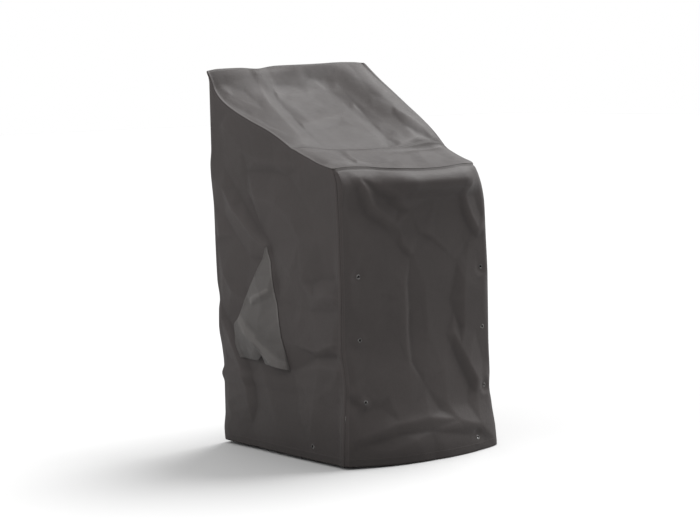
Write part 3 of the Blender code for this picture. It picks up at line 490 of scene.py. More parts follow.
eyelets = [Eyelet(name) for name in sorted(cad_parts) if name.startswith("eyelet")]
for ring in eyelets:
    middle = ring.centre - MOVE + ring.normal * RING_FACE
    ring.wall.pads.append((middle, ring.normal))
    print(ring.name, "on", ring.wall.name, [round(float(v), 3) for v in ring.centre])

# %% [markdown]
# ## The top
# The top is two panels. The slope falls from the back edge to a crosswise
# seam, and a nearly level shelf runs on to the front. Both lie over the rims
# of the walls, as the seam allowance is turned down inside.

# %% Heights of the top, and its fine stations
LIP_ACROSS, LIP_SLOPE, LIP_SHELF = LIP / (2 * HALF), LIP / SLOPE_RUN, LIP / SHELF_RUN
TAIL_ACROSS = TAIL / (2 * HALF)


def fine(marks, longest):
    """Stations that hold every mark, with no step longer than longest."""
    out = [marks[0]]
    for low, high in zip(marks[:-1], marks[1:]):
        steps = max(1, math.ceil((high - low) / longest - 1e-9))
        out.extend(low + (high - low) * (k + 1) / steps for k in range(steps))
    return np.array(out)


def inner(f, lip):
    """Squeeze a fraction so that the level lip at both rims reads as 0 or 1."""
    return np.clip((f - lip) / (1 - 2 * lip), 0.0, 1.0)


def top_heights(rows, f, t):
    """Heights for fractions f across (columns) and t down (rows)."""
    inside = inner(np.asarray(f, float), LIP_ACROSS)
    stack = np.stack([curve(SLOPE_X, row[1:], inside) for row in rows])
    return curve([row[0] for row in rows], stack, np.asarray(t, float))


def slope_z(f, t):
    """Heights of the slope, whose lip is at its back edge."""
    return top_heights(SLOPE, f, np.clip((np.asarray(t, float) - LIP_SLOPE) / (1 - LIP_SLOPE), 0, None))


def shelf_z(f, t):
    """Heights of the shelf, whose lip is at its front edge."""
    return top_heights(SHELF, f, np.clip(np.asarray(t, float) / (1 - LIP_SHELF), 0, 1.0))


across = fine([0.0, LIP_ACROSS, 1 - LIP_ACROSS, 1.0], STEP / (2 * HALF))
slope_t = fine([0.0, LIP_SLOPE, 1.0], STEP / SLOPE_RUN)
shelf_t = fine([0.0, 1 - LIP_SHELF, 1.0], STEP / SHELF_RUN)
print("stations", len(across), "across,", len(slope_t), "down the slope,", len(shelf_t), "on the shelf")

# %% The crosswise seam, and the top line of each wall
TILT = np.array((0.0, math.cos(SEAM_TILT), math.sin(SEAM_TILT)))


def depth_ends(wall):
    """Depths of the back end and the front end of a side wall's top line."""
    return float(wall.span(BACK_TOP)[1]), float(wall.span(FRONT_TOP)[0])


def on_wall(wall, y, z):
    """Places on a side wall's outer face under the top, for depths y."""
    back, front = depth_ends(wall)
    u = (np.asarray(y, float) - front) / (back - front)
    low, high = wall.span(z)
    a = low + (high - low) * u
    return u, wall.place(a, wall.reach(a, z, z), np.asarray(z, float))


def side_line(wall, f):
    """Top line of a side wall, back to front: for the wall, slope and shelf."""
    back, front = depth_ends(wall)
    at_seam = -float(read(SEAM_Y, f))
    u_slope, slope = on_wall(wall, back + (at_seam - back) * slope_t, slope_z([f], slope_t)[:, 0])
    u_shelf, shelf = on_wall(wall, at_seam + (front - at_seam) * shelf_t, shelf_z([f], shelf_t)[:, 0])
    shelf[0] = slope[-1]
    near = np.stack([slope[-1] + TILT * SEAM_TAIL, slope[-1] - TILT * SEAM_TAIL])
    step = SEAM_TAIL * math.cos(SEAM_TILT) / (back - front)
    u = np.r_[u_slope[:-1], u_slope[-1] + step, u_slope[-1] - step, u_shelf[1:]]
    return u, np.vstack([slope[:-1], near, shelf[1:]]), slope, shelf


def cross_line(wall, fs, z):
    """Top line of the front or the back wall, from left to right."""
    low, high = wall.span(z)
    a = low + (high - low) * fs
    return wall.place(a, wall.reach(a, z, z), z)


left_u, left_line, left_slope, left_shelf = side_line(LEFT, 0.0)
right_u, right_line, right_slope, right_shelf = side_line(RIGHT, 1.0)
front_line = cross_line(FRONT, across, shelf_z(across, [1.0])[0])
back_line = cross_line(BACK, across, slope_z(across, [0.0])[0])
start, stop = left_slope[-1], right_slope[-1]
seam = np.stack([
    start[0] + (stop[0] - start[0]) * across,
    -read(SEAM_Y, across) + (start[1] + read(SEAM_Y, 0.0)) * (1 - across)
    + (stop[1] + read(SEAM_Y, 1.0)) * across,
    slope_z(across, [1.0])[0],
], axis=-1)
print("back edge is", round(float(np.ptp(back_line[:, 0])), 3), "m wide")

# %% [markdown]
# ## Cutting the panels
# Each panel is a net of points. A square net is easy to check, and it gives
# the cloth an honest flat pattern: its two directions are the two directions
# of the weave. The flat pattern becomes the UV map, so weave and stitches
# follow the cloth into each fold.

# %% Points of a wall
WALL_FACETS = ((0.115, 0.0026), (0.052, 0.0013), (0.024, 0.0005))   # coarse to fine: cell, lift
TOP_FACETS = ((0.085, 0.0022), (0.045, 0.0013), (0.022, 0.0005))
FRONT_STRENGTH, SIDE_STRENGTH = 1.1, 1.4   # how much the given creases are deepened
ROUNDED = 2                                # rounds of averaging that soften a crease


def corner_column(wall, at_high_end, z, step):
    """A line of the slanted strip beside an upright seam."""
    low, high = wall.span(z)
    reach = read(wall.last if at_high_end else wall.first, z, wall.out_column)
    return wall.place(high - step if at_high_end else low + step, reach + step, z)


def rim_of(line, wall):
    """The top line moved down, square to itself, in the plane of the wall."""
    along = 0 if wall.upright_x else 1
    step = np.gradient(line[:, (along, 2)], axis=0)
    step /= np.linalg.norm(step, axis=1)[:, None]
    moved, side = line.copy(), np.sign(step[:, 0])
    drop = np.full(len(line), RIM_GAP)
    drop[:4] += CORNER_EASE
    drop[-4:] += CORNER_EASE
    moved[:, along] += side * step[:, 1] * drop
    moved[:, 2] -= side * step[:, 0] * drop
    return moved


def wall_points(wall, u, line, step):
    """Net of a wall from hem to rim, with its flat measures."""
    order = np.argsort(u)
    u, line = u[order], line[order]
    along, out = (0, 1) if wall.upright_x else (1, 0)
    inside = (u > 0.85 * LIP_ACROSS) & (u < 1 - 0.85 * LIP_ACROSS)
    u = np.r_[0.0, TAIL_ACROSS, u[inside], 1 - TAIL_ACROSS, 1.0]
    inset = SEAM / 2 * math.sqrt(0.5)
    ends = [corner_column(wall, False, line[0, 2], s) for s in (inset, TAIL)]
    ends += [corner_column(wall, True, line[-1, 2], s) for s in (TAIL, inset)]
    top_line = np.vstack([ends[:2], line[inside], ends[2:]])
    rim = rim_of(top_line, wall)
    hem = wall.hem(u)
    hem[1], hem[-2] = hem[0], hem[-1]
    count = max(2, round((line[:, 2].max() - hem.min()) / step))
    v = np.linspace(0.0, 1.0, count)[:, None]
    z = hem + v * (rim[:, 2] - LIP - hem)
    low, high = wall.span(rim[:, 2])
    rim_u = (rim[:, along] - low) / (high - low)
    low, high = wall.span(z)
    a = low + (high - low) * (u + (rim_u - u) * soft((v - 0.85) / 0.15))
    for middle, _ in wall.pads:
        row, column = np.unravel_index(np.hypot(a - middle[along], z - middle[2]).argmin(), a.shape)
        near = soft(1.4 - np.hypot(a - a[row, column], z - z[row, column]) / PAD_SHIFT)
        a, z = a + (middle[along] - a[row, column]) * near, z + (middle[2] - z[row, column]) * near
    shape = wall_shape(wall, a, z, hem)
    reach = wall.reach(a, z, top_line[:, 2], shape)
    for middle, normal in wall.pads:
        near = soft(1.35 - np.hypot(a - middle[along], z - middle[2]) / PAD_FLAT)
        tilt = normal[along] * (a - middle[along]) + normal[2] * (z - middle[2])
        plane = middle[out] - tilt / normal[out]
        reach = reach * (1 - near) + wall.face * plane * near
    points = wall.place(a, reach, z)
    for column, at_end, s in ((0, False, inset), (1, False, TAIL), (-2, True, TAIL), (-1, True, inset)):
        points[:, column] = corner_column(wall, at_end, z[:, column], s)
    points[-1] = rim - np.array((0.0, 0.0, LIP))
    points = np.vstack([points, rim[None]])
    low, high = wall.span(points[..., 2])
    side_gap = np.minimum(points[..., along] - low, high - points[..., along])
    crest = np.vstack([shape, shape[-1:]])
    return points, {
        "side_gap": side_gap, "hem_gap": points[..., 2] - hem, "rim_gap": top_line[:, 2] - points[..., 2],
        "crest": crest, "flat": points[..., (along, 2)],
    }


def wall_shape(wall, a, z, hem):
    """Creases and facets of a wall."""
    low_down = 0.35 + 0.65 * soft((z - hem) / 0.06)
    small = patchy(a, z, 0.22, wall.seed)
    strength = FRONT_STRENGTH if wall is FRONT else SIDE_STRENGTH
    shape = facet_net(a, z, *WALL_FACETS[0], wall.seed, wall.creases, strength)
    shape = shape + low_down * small * facet_net(a, z, *WALL_FACETS[1], wall.seed + 20)
    small = small * patchy(a, z, 0.11, wall.seed + 2)
    shape = shape + small * facet_net(a, z, *WALL_FACETS[2], wall.seed + 40)
    return eased(shape, ROUNDED)


# %% Points of a top panel
def coons(far, near, left, right, f, t):
    """Plan positions inside four edge lines."""
    f, t = f[None, :, None], t[:, None, None]
    corners = (left[0] * (1 - f) + right[0] * f) * (1 - t) + (left[-1] * (1 - f) + right[-1] * f) * t
    return far[None] * (1 - t) + near[None] * t + left[:, None] * (1 - f) + right[:, None] * f - corners


def top_points(t, left, right, far, near, height, creases, seed, seam_last):
    """Net of a top panel, from back to front, with its flat measures."""
    points = coons(far, near, left, right, across, t)
    points[..., 2] = height(across, t)
    lip = across <= LIP_ACROSS + 1e-6
    far_lip = across >= 1 - LIP_ACROSS - 1e-6
    points[1:-1, lip, 1:] = left[1:-1, None, 1:]
    points[1:-1, far_lip, 1:] = right[1:-1, None, 1:]
    points[:, lip, 2], points[:, far_lip, 2] = left[:, 2:], right[:, 2:]
    points[:, 0], points[:, -1] = left, right
    x, y = points[..., 0], points[..., 1]
    side_gap = np.minimum(x - left[:, :1], right[:, :1] - x)
    run = np.linalg.norm(np.diff(points.mean(axis=1), axis=0), axis=1)
    down = np.r_[0.0, np.cumsum(run)][:, None] + 0 * x
    far_gap, near_gap = down, down[-1] - down
    shape = facet_net(x, y, *TOP_FACETS[0], seed, creases)
    small = patchy(x, y, 0.16, seed)
    shape = shape + small * facet_net(x, y, *TOP_FACETS[1], seed + 20)
    shape = shape + small * facet_net(x, y, *TOP_FACETS[2], seed + 40)
    shape = eased(shape, ROUNDED)
    edge = soft((side_gap - HELD_TOP) / FADE)
    fades = (FADE, FADE_SEAM) if seam_last else (FADE_SEAM, FADE_EDGE)
    for gap, wide in zip((far_gap, near_gap), fades):
        edge = edge * soft((gap - LIP) / wide)
    points[..., 2] += edge * shape
    facts = {
        "side_gap": side_gap, "hem_gap": 0.5 + 0 * x, "rim_gap": np.minimum(far_gap, near_gap),
        "crest": shape * edge, "flat": np.stack([x, -down], axis=-1),
    }

    def with_strip(rows, strip, end):
        """The row at the crosswise seam gives way to the two rows of its strip."""
        return np.concatenate([rows[:-1], [strip, end]] if seam_last else [[end, strip], rows[1:]])

    outward = TILT if seam_last else -TILT
    points = with_strip(points, seam + outward * SEAM_TAIL, seam + outward * (SEAM / 2))
    for key, value in facts.items():
        at_seam = value[-1 if seam_last else 0]
        facts[key] = with_strip(value, at_seam, at_seam)
    return points, facts


# %% Creases of the top, seen from above: x, y and lift in millimetres
SLOPE_CREASES = [
    # left crease, valley
    [(-118, 290, -6), (-150, 204, -6), (-167, 118, -6), (-210, -31, -5), (-207, -94, -2)],
    [(-135, 375, 4), (-179, 262, 5), (-206, 183, 5), (-231, 80, 5), (-269, -62, 4)],  # left crease, crest
    # under the back edge, valley
    [(-118, 290, -6), (-52, 296, -7), (9, 283, -6), (68, 311, -7), (131, 300, -8), (165, 286, -3)],
    [(-77, 325, 3), (68, 362, 3), (203, 382, 3)],  # under the back edge, crest
    [(-129, 249, 0), (-70, 246, 1), (8, 254, 1), (93, 270, 1), (129, 248, 0)],  # plateau, upper edge
    # straight crease, valley
    [(161, 270, -4), (141, 164, -4), (121, 55, -4), (100, -51, -4), (-12, -256, -2)],
    [(106, 237, 1), (95, 136, 1), (68, 20, 1), (61, -71, 1)],  # straight crease, plateau side
    [(127, 137, 1), (147, 112, -2), (181, 98, 0)],  # cross crease
    [(303, 282, 7), (268, 187, 4), (274, 141, 7), (306, 113, 4)],  # right ridge 1, crest
    [(243, 235, -3), (216, 149, -3), (232, 104, -3), (236, 60, -2)],  # right ridge 1, valley
    [(228, 26, 4), (245, -17, 8), (265, -57, 8), (325, -62, 4)],  # right ridge 2, crest
    [(204, 19, -3), (202, -39, -4), (227, -74, -4), (269, -99, -3)],  # right ridge 2, valley
    [(345, 265, 3), (365, 229, 4), (355, 175, 2)],  # right ridge 3
    [(-323, 324, 1.5), (-298, 273, 2.5), (-282, 217, 2.5), (-258, 161, 1.5)],  # left strip 1
    [(-295, 311, -1.5), (-247, 279, -2), (-241, 209, -1.5)],  # left strip 2
    [(-320, 183, -1.5), (-307, 130, -1.5), (-318, 39, -1)],  # left strip 3
    [(-339, 76, 1.5), (-328, 15, 2), (-330, -81, 1)],  # left strip 4
    [(-224, 396, 1.5), (-188, 368, 2), (-199, 303, 0.5)],  # left strip 5
    [(-230, -25, -3), (-121, 10, -3), (-11, 48, -2), (19, 21, 0)],  # plateau wave 1
    [(-143, 51, 2), (-48, 83, 3), (33, 95, 2)],  # plateau wave 2
    [(-112, 160, -1), (-38, 149, -2), (56, 166, -1)],  # plateau wave 3
    [(127, -113, 3), (205, -102, 6), (283, -93, 6), (352, -63, 4)],  # over the seam, crest
]
SHELF_CREASES = [
    [(-164, -140, -2), (-209, -275, -3)],  # diagonal, valley
    [(-142, -139, 3), (-179, -255, 3)],  # diagonal, crest
    [(-204, -148, 2), (-241, -273, 3)],  # diagonal, far crest
    [(-293, -280, -3), (-269, -291, -4), (-229, -284, -2)],  # pucker
    [(-282, -258, 3), (-240, -257, 4), (-200, -259, 2)],  # pucker, crest
    [(106, -152, 0), (77, -219, -2), (30, -296, -2)],  # right dip
    [(156, -162, 3), (123, -227, 3), (84, -291, 1)],  # right crest
    [(290, -125, 4), (269, -199, 3), (220, -281, 1)],  # right corner
    [(-68, -174, 2), (-42, -214, 2), (-11, -249, 1)],  # middle
]

# %% Make the nets of all six panels
slope_net, slope_facts = top_points(
    slope_t, left_slope, right_slope, back_line, seam, slope_z, SLOPE_CREASES, 61, True)
shelf_net, shelf_facts = top_points(
    shelf_t, left_shelf, right_shelf, seam, front_line, shelf_z, SHELF_CREASES, 62, False)
front_net, front_facts = wall_points(FRONT, across, front_line, STEP)
left_net, left_facts = wall_points(LEFT, left_u, left_line, STEP)


def thinned(u, line):
    """Every other station, ends kept, for the sides that turn away."""
    order = np.argsort(u)
    keep = np.unique(np.r_[0, np.arange(2, len(u) - 2, 2), len(u) - 1])
    return u[order][keep], line[order][keep]


right_net, right_facts = wall_points(RIGHT, *thinned(right_u, right_line), STEP_FAR)
back_net, back_facts = wall_points(BACK, *thinned(across, back_line), STEP_FAR)
print("nets", [net.shape[:2] for net in (slope_net, shelf_net, front_net, left_net, right_net, back_net)])

# %% [markdown]
# ## From net to cloth
# A net becomes a mesh of four-sided faces, and Solidify gives it the real
# thickness of the cloth on its inner side. Where an eyelet sits, the four
# faces round one point are left out and the eight points beside them are
# drawn to a small circle, as a punched hole.

# %% A sheet of cloth from a net
SURROUNDINGS = 40        # rounds of averaging that give the level round a place
FULL_CREST = 0.0022      # stand-off that counts as a whole crest


def sheet_mesh(name, points, facts, turned, thickness, holes=()):
    """Mesh, flat pattern and measures of one piece of cloth."""
    rows, columns = points.shape[:2]
    points = points + MOVE
    index = np.arange(rows * columns).reshape(rows, columns)
    quads = np.stack([index[:-1, :-1], index[:-1, 1:], index[1:, 1:], index[1:, :-1]], axis=-1)
    gone = np.zeros((rows - 1, columns - 1), bool)
    for centre, normal, radius in holes:
        r, c = np.unravel_index(np.linalg.norm(points - centre, axis=2).argmin(), (rows, columns))
        gone[r - 1:r + 1, c - 1:c + 1] = True
        for i, j in ((-1, -1), (-1, 0), (-1, 1), (0, 1), (1, 1), (1, 0), (1, -1), (0, -1)):
            ray = points[r + i, c + j] - centre
            ray -= normal * ray.dot(normal)
            points[r + i, c + j] = centre + ray / np.linalg.norm(ray) * radius
    quads = quads[~gone].reshape(-1, 4)
    if turned:
        quads = quads[:, ::-1]
    used = np.unique(quads)
    renumber = np.full(rows * columns, -1)
    renumber[used] = np.arange(len(used))
    quads = renumber[quads]
    mesh = bpy.data.meshes.new(name)
    mesh.vertices.add(len(used))
    mesh.vertices.foreach_set("co", points.reshape(-1, 3)[used].astype(np.float32).ravel())
    mesh.loops.add(quads.size)
    mesh.loops.foreach_set("vertex_index", quads.astype(np.int32).ravel())
    mesh.polygons.add(len(quads))
    mesh.polygons.foreach_set("loop_start", np.arange(0, quads.size, 4, dtype=np.int32))
    mesh.update(calc_edges=True)
    mesh.validate()
    pattern = mesh.uv_layers.new(name="pattern")
    flat = facts["flat"].reshape(-1, 2)[used][quads.ravel()]
    pattern.data.foreach_set("uv", flat.astype(np.float32).ravel())
    for key in ("side_gap", "hem_gap", "rim_gap", "crest"):
        layer = mesh.attributes.new(key, "FLOAT", "POINT")
        layer.data.foreach_set("value", facts[key].reshape(-1)[used].astype(np.float32))
    mesh.polygons.foreach_set("use_smooth", np.ones(len(quads), bool))
    made = bpy.data.objects.new(name, mesh)
    bpy.context.scene.collection.objects.link(made)
    solid = made.modifiers.new("thickness", "SOLIDIFY")
    solid.thickness, solid.offset = thickness, -1.0
    solid.use_even_offset = True
    return made


def apply_all(piece):
    """Apply the modifiers of one piece."""
    bpy.ops.object.select_all(action="DESELECT")
    bpy.context.view_layer.objects.active = piece
    piece.select_set(True)
    for modifier in list(piece.modifiers):
        bpy.ops.object.modifier_apply(modifier=modifier.name)
    piece.select_set(False)


def crest_of(height, scale):
    """How far each place stands out of its surroundings, from -1 to 1."""
    return np.clip((height - eased(height, SURROUNDINGS)) / scale, -1.0, 1.0)


def area_of(piece):
    """Area of the outer face, before thickness."""
    return sum(face.area for face in piece.data.polygons)


for facts in (slope_facts, shelf_facts, front_facts, left_facts, right_facts, back_facts):
    facts["crest"] = crest_of(facts["crest"], FULL_CREST)

# %% Make the six panels
HOLE_R = 0.0060
holes = {"front": [], "left": []}
for ring in eyelets:
    holes[ring.wall.name].append((ring.centre + ring.normal * RING_FACE, ring.normal, HOLE_R))
front = sheet_mesh("front_cloth", front_net, front_facts, False, CLOTH, holes["front"])
left_side = sheet_mesh("left_side_cloth", left_net, left_facts, True, CLOTH, holes["left"])
right_side = sheet_mesh("right_side_cloth", right_net, right_facts, False, CLOTH)
back = sheet_mesh("back_cloth", back_net, back_facts, True, CLOTH)
slope = sheet_mesh("top_slope_cloth", slope_net, slope_facts, True, CLOTH)
shelf = sheet_mesh("top_front_cloth", shelf_net, shelf_facts, True, CLOTH)
panels = [front, left_side, right_side, back, slope, shelf]
areas = {piece.name: area_of(piece) for piece in panels}
for name, area in areas.items():
    print(name, "area", round(area, 4), "square metres")

# %% [markdown]
# ## The vent flap
# A vent is covered by a loose three-cornered flap. Its two long edges are sewn
# to the left side and meet at the top. The lower edge is free and stands off,
# so air can pass and rain can't. The flap is drawn as seen from its own side:
# a few creases with the distance that each place stands off the wall.

# %% Edges of the flap in metres, its creases in millimetres
FLAP_CLOTH, FLAP_GAP = 0.0010, 0.0004
FLAP_FORWARD, FLAP_UP = 0.8, 0.10    # slide of a raised place, as a share of its rise
FLAP_EDGE = 0.0012                   # bead along the sewn edges
FLAP_CREST, PAINTED_HIGHLIGHT_WEIGHT = 0.0030, 2.3     # stand-off of a whole crest, and weight of the painted highlights on the folds
FLAP_LEFT = [
    (0.0, 0.037, 0.690), (0.25, 0.115, 0.582), (0.40, 0.165, 0.515), (0.60, 0.216, 0.437),
    (0.70, 0.243, 0.405), (0.85, 0.236, 0.350), (1.0, 0.212, 0.299),
]
FLAP_RIGHT = [
    (0.0, 0.033, 0.690), (0.25, 0.020, 0.590), (0.60, -0.006, 0.452), (0.80, -0.028, 0.365),
    (1.0, -0.046, 0.279),
]
FLAP_BASE = [   # notch and waves of the lower edge: fraction across, lift
    (0.0, 0.0), (0.20, 0.004), (0.391, 0.008), (0.455, 0.022), (0.48, 0.030), (0.505, 0.022),
    (0.562, 0.004), (0.713, 0.004), (0.88, 0.002), (1.0, 0.0),
]
FLAP_CREASES = [
    [(37, 695, 0), (115, 582, 0), (165, 515, 0), (185, 485, 0), (205, 457, 0), (216, 437, 1), (250, 405, 1),
     (245, 350, 2), (220, 290, 3)],
    [(37, 695, 0), (20, 600, 0), (10, 545, 1), (4, 512, 1), (-6, 452, 0), (-30, 365, 1), (-56, 270, 2)],
    [(165, 515, 0), (132, 507, 14), (82, 528, 18), (40, 546, 10), (10, 545, 1)],
    [(185, 485, 0), (137, 480, 4), (86, 499, 6), (40, 516, 4), (4, 512, 1)],
    [(205, 457, 0), (162, 427, 5), (107, 392, 8), (62, 366, 11), (12, 334, 14), (-30, 300, 10)],
    [(216, 437, 1), (172, 390, 21), (112, 349, 30), (78, 328, 32), (40, 302, 38), (4, 270, 38)],
    [(220, 290, 3), (165, 283, 6), (105, 288, 12), (85, 318, 20), (70, 284, 24)],
]
FLAP_PAINTED_HIGHLIGHTS = [   # painted highlights on the folds: a line of (along, height), and half its width
    ([(0.204, 0.430), (0.172, 0.400), (0.128, 0.376)], 0.015),
    ([(0.150, 0.388), (0.098, 0.357), (0.066, 0.336)], 0.009),
    ([(0.070, 0.334), (0.034, 0.310), (-0.004, 0.296), (-0.034, 0.286)], 0.017),
    ([(0.140, 0.500), (0.110, 0.517)], 0.009),
    ([(0.112, 0.516), (0.078, 0.527), (0.042, 0.543)], 0.006),
    ([(0.030, 0.660), (0.018, 0.560), (-0.006, 0.440)], 0.003),
]

# %% Lay the flap on the left side
s = np.linspace(0.0, 1.0, 90)[None, :]
t = np.linspace(0.0, 1.0, 140)[:, None]
flap_a = read(FLAP_LEFT, t) * (1 - s) + read(FLAP_RIGHT, t) * s
flap_z = read(FLAP_LEFT, t, 2) * (1 - s) + read(FLAP_RIGHT, t, 2) * s
flap_z = flap_z + np.interp(s, *zip(*FLAP_BASE)) * soft((t - 0.80) / 0.20)
rise = eased(facets(*crease_net(FLAP_CREASES), flap_a, flap_z), 5)
rise = rise + 0.0007 * eased(facet_net(flap_a, flap_z, 0.030, 1.0, 77), 2) * soft(rise / 0.006)
from_edge = np.minimum(s, 1 - s) * np.hypot(read(FLAP_LEFT, t) - read(FLAP_RIGHT, t), 0.02)
rise = np.clip(rise, 0.0, None) * soft(from_edge / 0.010)
rise = rise + FLAP_EDGE * np.exp(-(((from_edge - 0.0035) / 0.0022) ** 2))
flap_y, flap_h = flap_a - FLAP_FORWARD * rise, flap_z + FLAP_UP * rise

rows, columns = left_net.shape[:2]
wall_tree = BVHTree.FromPolygons(
    [tuple(p) for p in left_net.reshape(-1, 3)],
    [(k, k + 1, k + columns + 1, k + columns) for k in range((rows - 1) * columns) if (k + 1) % columns],
)
under = np.array([wall_tree.ray_cast(Vector((-1.0, y, z)), Vector((1.0, 0.0, 0.0)))[0].x
                  for y, z in zip(flap_y.ravel(), flap_h.ravel())]).reshape(flap_y.shape)
flap_net = np.stack([under - FLAP_CLOTH - FLAP_GAP - rise, flap_y, flap_h], axis=-1)
flap_facts = {
    "side_gap": from_edge + 0 * t, "hem_gap": (1 - t) * 0.40 + 0 * s, "rim_gap": 0.5 + 0 * rise,
    "flat": np.stack([flap_a, flap_z], axis=-1),
}
painted_fold_highlight = np.zeros_like(rise)
for line, wide in FLAP_PAINTED_HIGHLIGHTS:
    for (a0, z0), (a1, z1) in zip(line[:-1], line[1:]):
        da, dz = a1 - a0, z1 - z0
        part = np.clip(((flap_a - a0) * da + (flap_z - z0) * dz) / (da ** 2 + dz ** 2), 0, 1)
        away = np.hypot(flap_a - a0 - part * da, flap_z - z0 - part * dz)
        painted_fold_highlight = np.maximum(painted_fold_highlight, soft(1.5 - away / wide))
# Painted highlight: paler bands along the flap's folds, for the light that up-turned cloth catches.
flap_facts["crest"] = 0.4 * crest_of(rise, FLAP_CREST) + PAINTED_HIGHLIGHT_WEIGHT * painted_fold_highlight
flap = sheet_mesh("vent_flap_cloth", flap_net, flap_facts, True, FLAP_CLOTH)
areas[flap.name] = area_of(flap)
print("flap stands off", round(float(rise.max()), 3), "m, area", round(areas[flap.name], 4))

# %% Give every panel its thickness
panels.append(flap)
for piece in panels:
    apply_all(piece)
    print(piece.name, len(piece.data.polygons) * 2, "triangles")

# %% [markdown]
# ## Eyelets
# An eyelet is a turned ring in two halves, pressed together through the punched
# hole. One ring is modelled: a circle is drawn out loop by loop along the
# outline of the flange and barrel, and the last loop is joined to the first.
# The others are copies, each with its own mesh.

# %% Model one eyelet
BORE_R, BARREL_R, FLANGE_R = 0.0040, 0.0053, 0.0084
OUT, IN = 0.0011, -0.0004          # faces of the cloth, from the ring's centre
ring_outline = [
    (BORE_R, OUT + 0.0003), (BORE_R + 0.0004, OUT + 0.0008), (BORE_R + 0.0011, OUT + 0.0011),
    (BORE_R + 0.0022, OUT + 0.0011), (FLANGE_R - 0.0008, OUT + 0.0008), (FLANGE_R - 0.0001, OUT + 0.0004),
    (FLANGE_R, OUT + 0.0001), (BARREL_R, OUT + 0.0001), (BARREL_R, IN - 0.0001),
    (FLANGE_R - 0.0004, IN - 0.0001), (FLANGE_R - 0.0004, IN - 0.0004), (FLANGE_R - 0.0014, IN - 0.0008),
    (BORE_R + 0.0006, IN - 0.0008), (BORE_R, IN - 0.0004),
]


def turned_ring(name, outline, around):
    """A ring drawn out from a circle, loop by loop."""
    bpy.ops.object.select_all(action="DESELECT")
    bpy.ops.mesh.primitive_circle_add(vertices=around, radius=outline[0][0], location=(0, 0, 0))
    made = bpy.context.object
    made.name = made.data.name = name
    bpy.ops.object.mode_set(mode="EDIT")
    bpy.ops.mesh.select_mode(type="EDGE")
    bpy.ops.mesh.select_all(action="SELECT")
    bpy.ops.transform.translate(value=(0, 0, outline[0][1]))
    for (r0, h0), (r1, h1) in zip(outline[:-1], outline[1:]):
        bpy.ops.mesh.extrude_edges_move()
        bpy.ops.transform.resize(value=(r1 / r0, r1 / r0, 1.0), center_override=(0, 0, h0))
        bpy.ops.transform.translate(value=(0, 0, h1 - h0))
    bpy.ops.object.mode_set(mode="OBJECT")
    for edge in made.data.edges:
        ends = [made.data.vertices[k].co for k in edge.vertices]
        edge.select = all(
            any(abs(p.xy.length - r) < 2e-5 and abs(p.z - h) < 2e-5 for r, h in (outline[0], outline[-1]))
            for p in ends
        ) and abs(ends[0].z - ends[1].z) < 1e-5
    bpy.ops.object.mode_set(mode="EDIT")
    bpy.ops.mesh.bridge_edge_loops()
    bpy.ops.mesh.select_all(action="SELECT")
    bpy.ops.mesh.normals_make_consistent(inside=False)
    bpy.ops.object.mode_set(mode="OBJECT")
    bpy.ops.object.shade_smooth_by_angle(angle=math.radians(35))
    return made


pattern_ring = turned_ring("eyelet_ring", ring_outline, 36)
print("one ring has", len(pattern_ring.data.polygons), "faces")

# %% Set a copy at each hole
rings = []
for number, place in enumerate(eyelets, 1):
    copy = bpy.data.objects.new(f"eyelet_ring_{number}", pattern_ring.data.copy())
    copy.data.name = copy.name
    turn = Vector(place.normal).to_track_quat("Z", "Y").to_matrix().to_4x4()
    copy.data.transform(Matrix.Translation(Vector(place.centre)) @ turn)
    bpy.context.scene.collection.objects.link(copy)
    rings.append(copy)
bpy.data.objects.remove(pattern_ring, do_unlink=True)
print(len(rings), "rings set")

# %% [markdown]
# ## Writing a material as arithmetic
# A shader is a sum of small masks: threads, a stitch, a worn crest. Nodes for
# each plus and times are hard to read, so a small class turns Python's own
# signs into Math nodes.

# %% Sockets that can be added and multiplied
class Value:
    """An output socket that works in a formula."""

    def __init__(self, recipe, socket):
        self.recipe, self.socket = recipe, socket

    def _do(self, operation, *others):
        return self.recipe.maths(operation, self, *others)

    def __add__(self, other):
        return self._do("ADD", other)

    def __mul__(self, other):
        return self._do("MULTIPLY", other)

    def __sub__(self, other):
        return self._do("SUBTRACT", other)

    def __rsub__(self, other):
        return self.recipe.maths("SUBTRACT", other, self)

    __radd__, __rmul__ = __add__, __mul__

    def wave(self):
        return self._do("SINE")

    def size(self):
        return self._do("ABSOLUTE")

    def part(self):
        return self._do("FRACT")

    def below(self, limit):
        return self._do("LESS_THAN", limit)

    def ramp(self, low, high):
        """0 at low, 1 at high, smooth between."""
        ends = {"Value": self, "From Min": low, "From Max": high}
        return self.recipe.node("ShaderNodeMapRange", {"interpolation_type": "SMOOTHSTEP"}, ends)


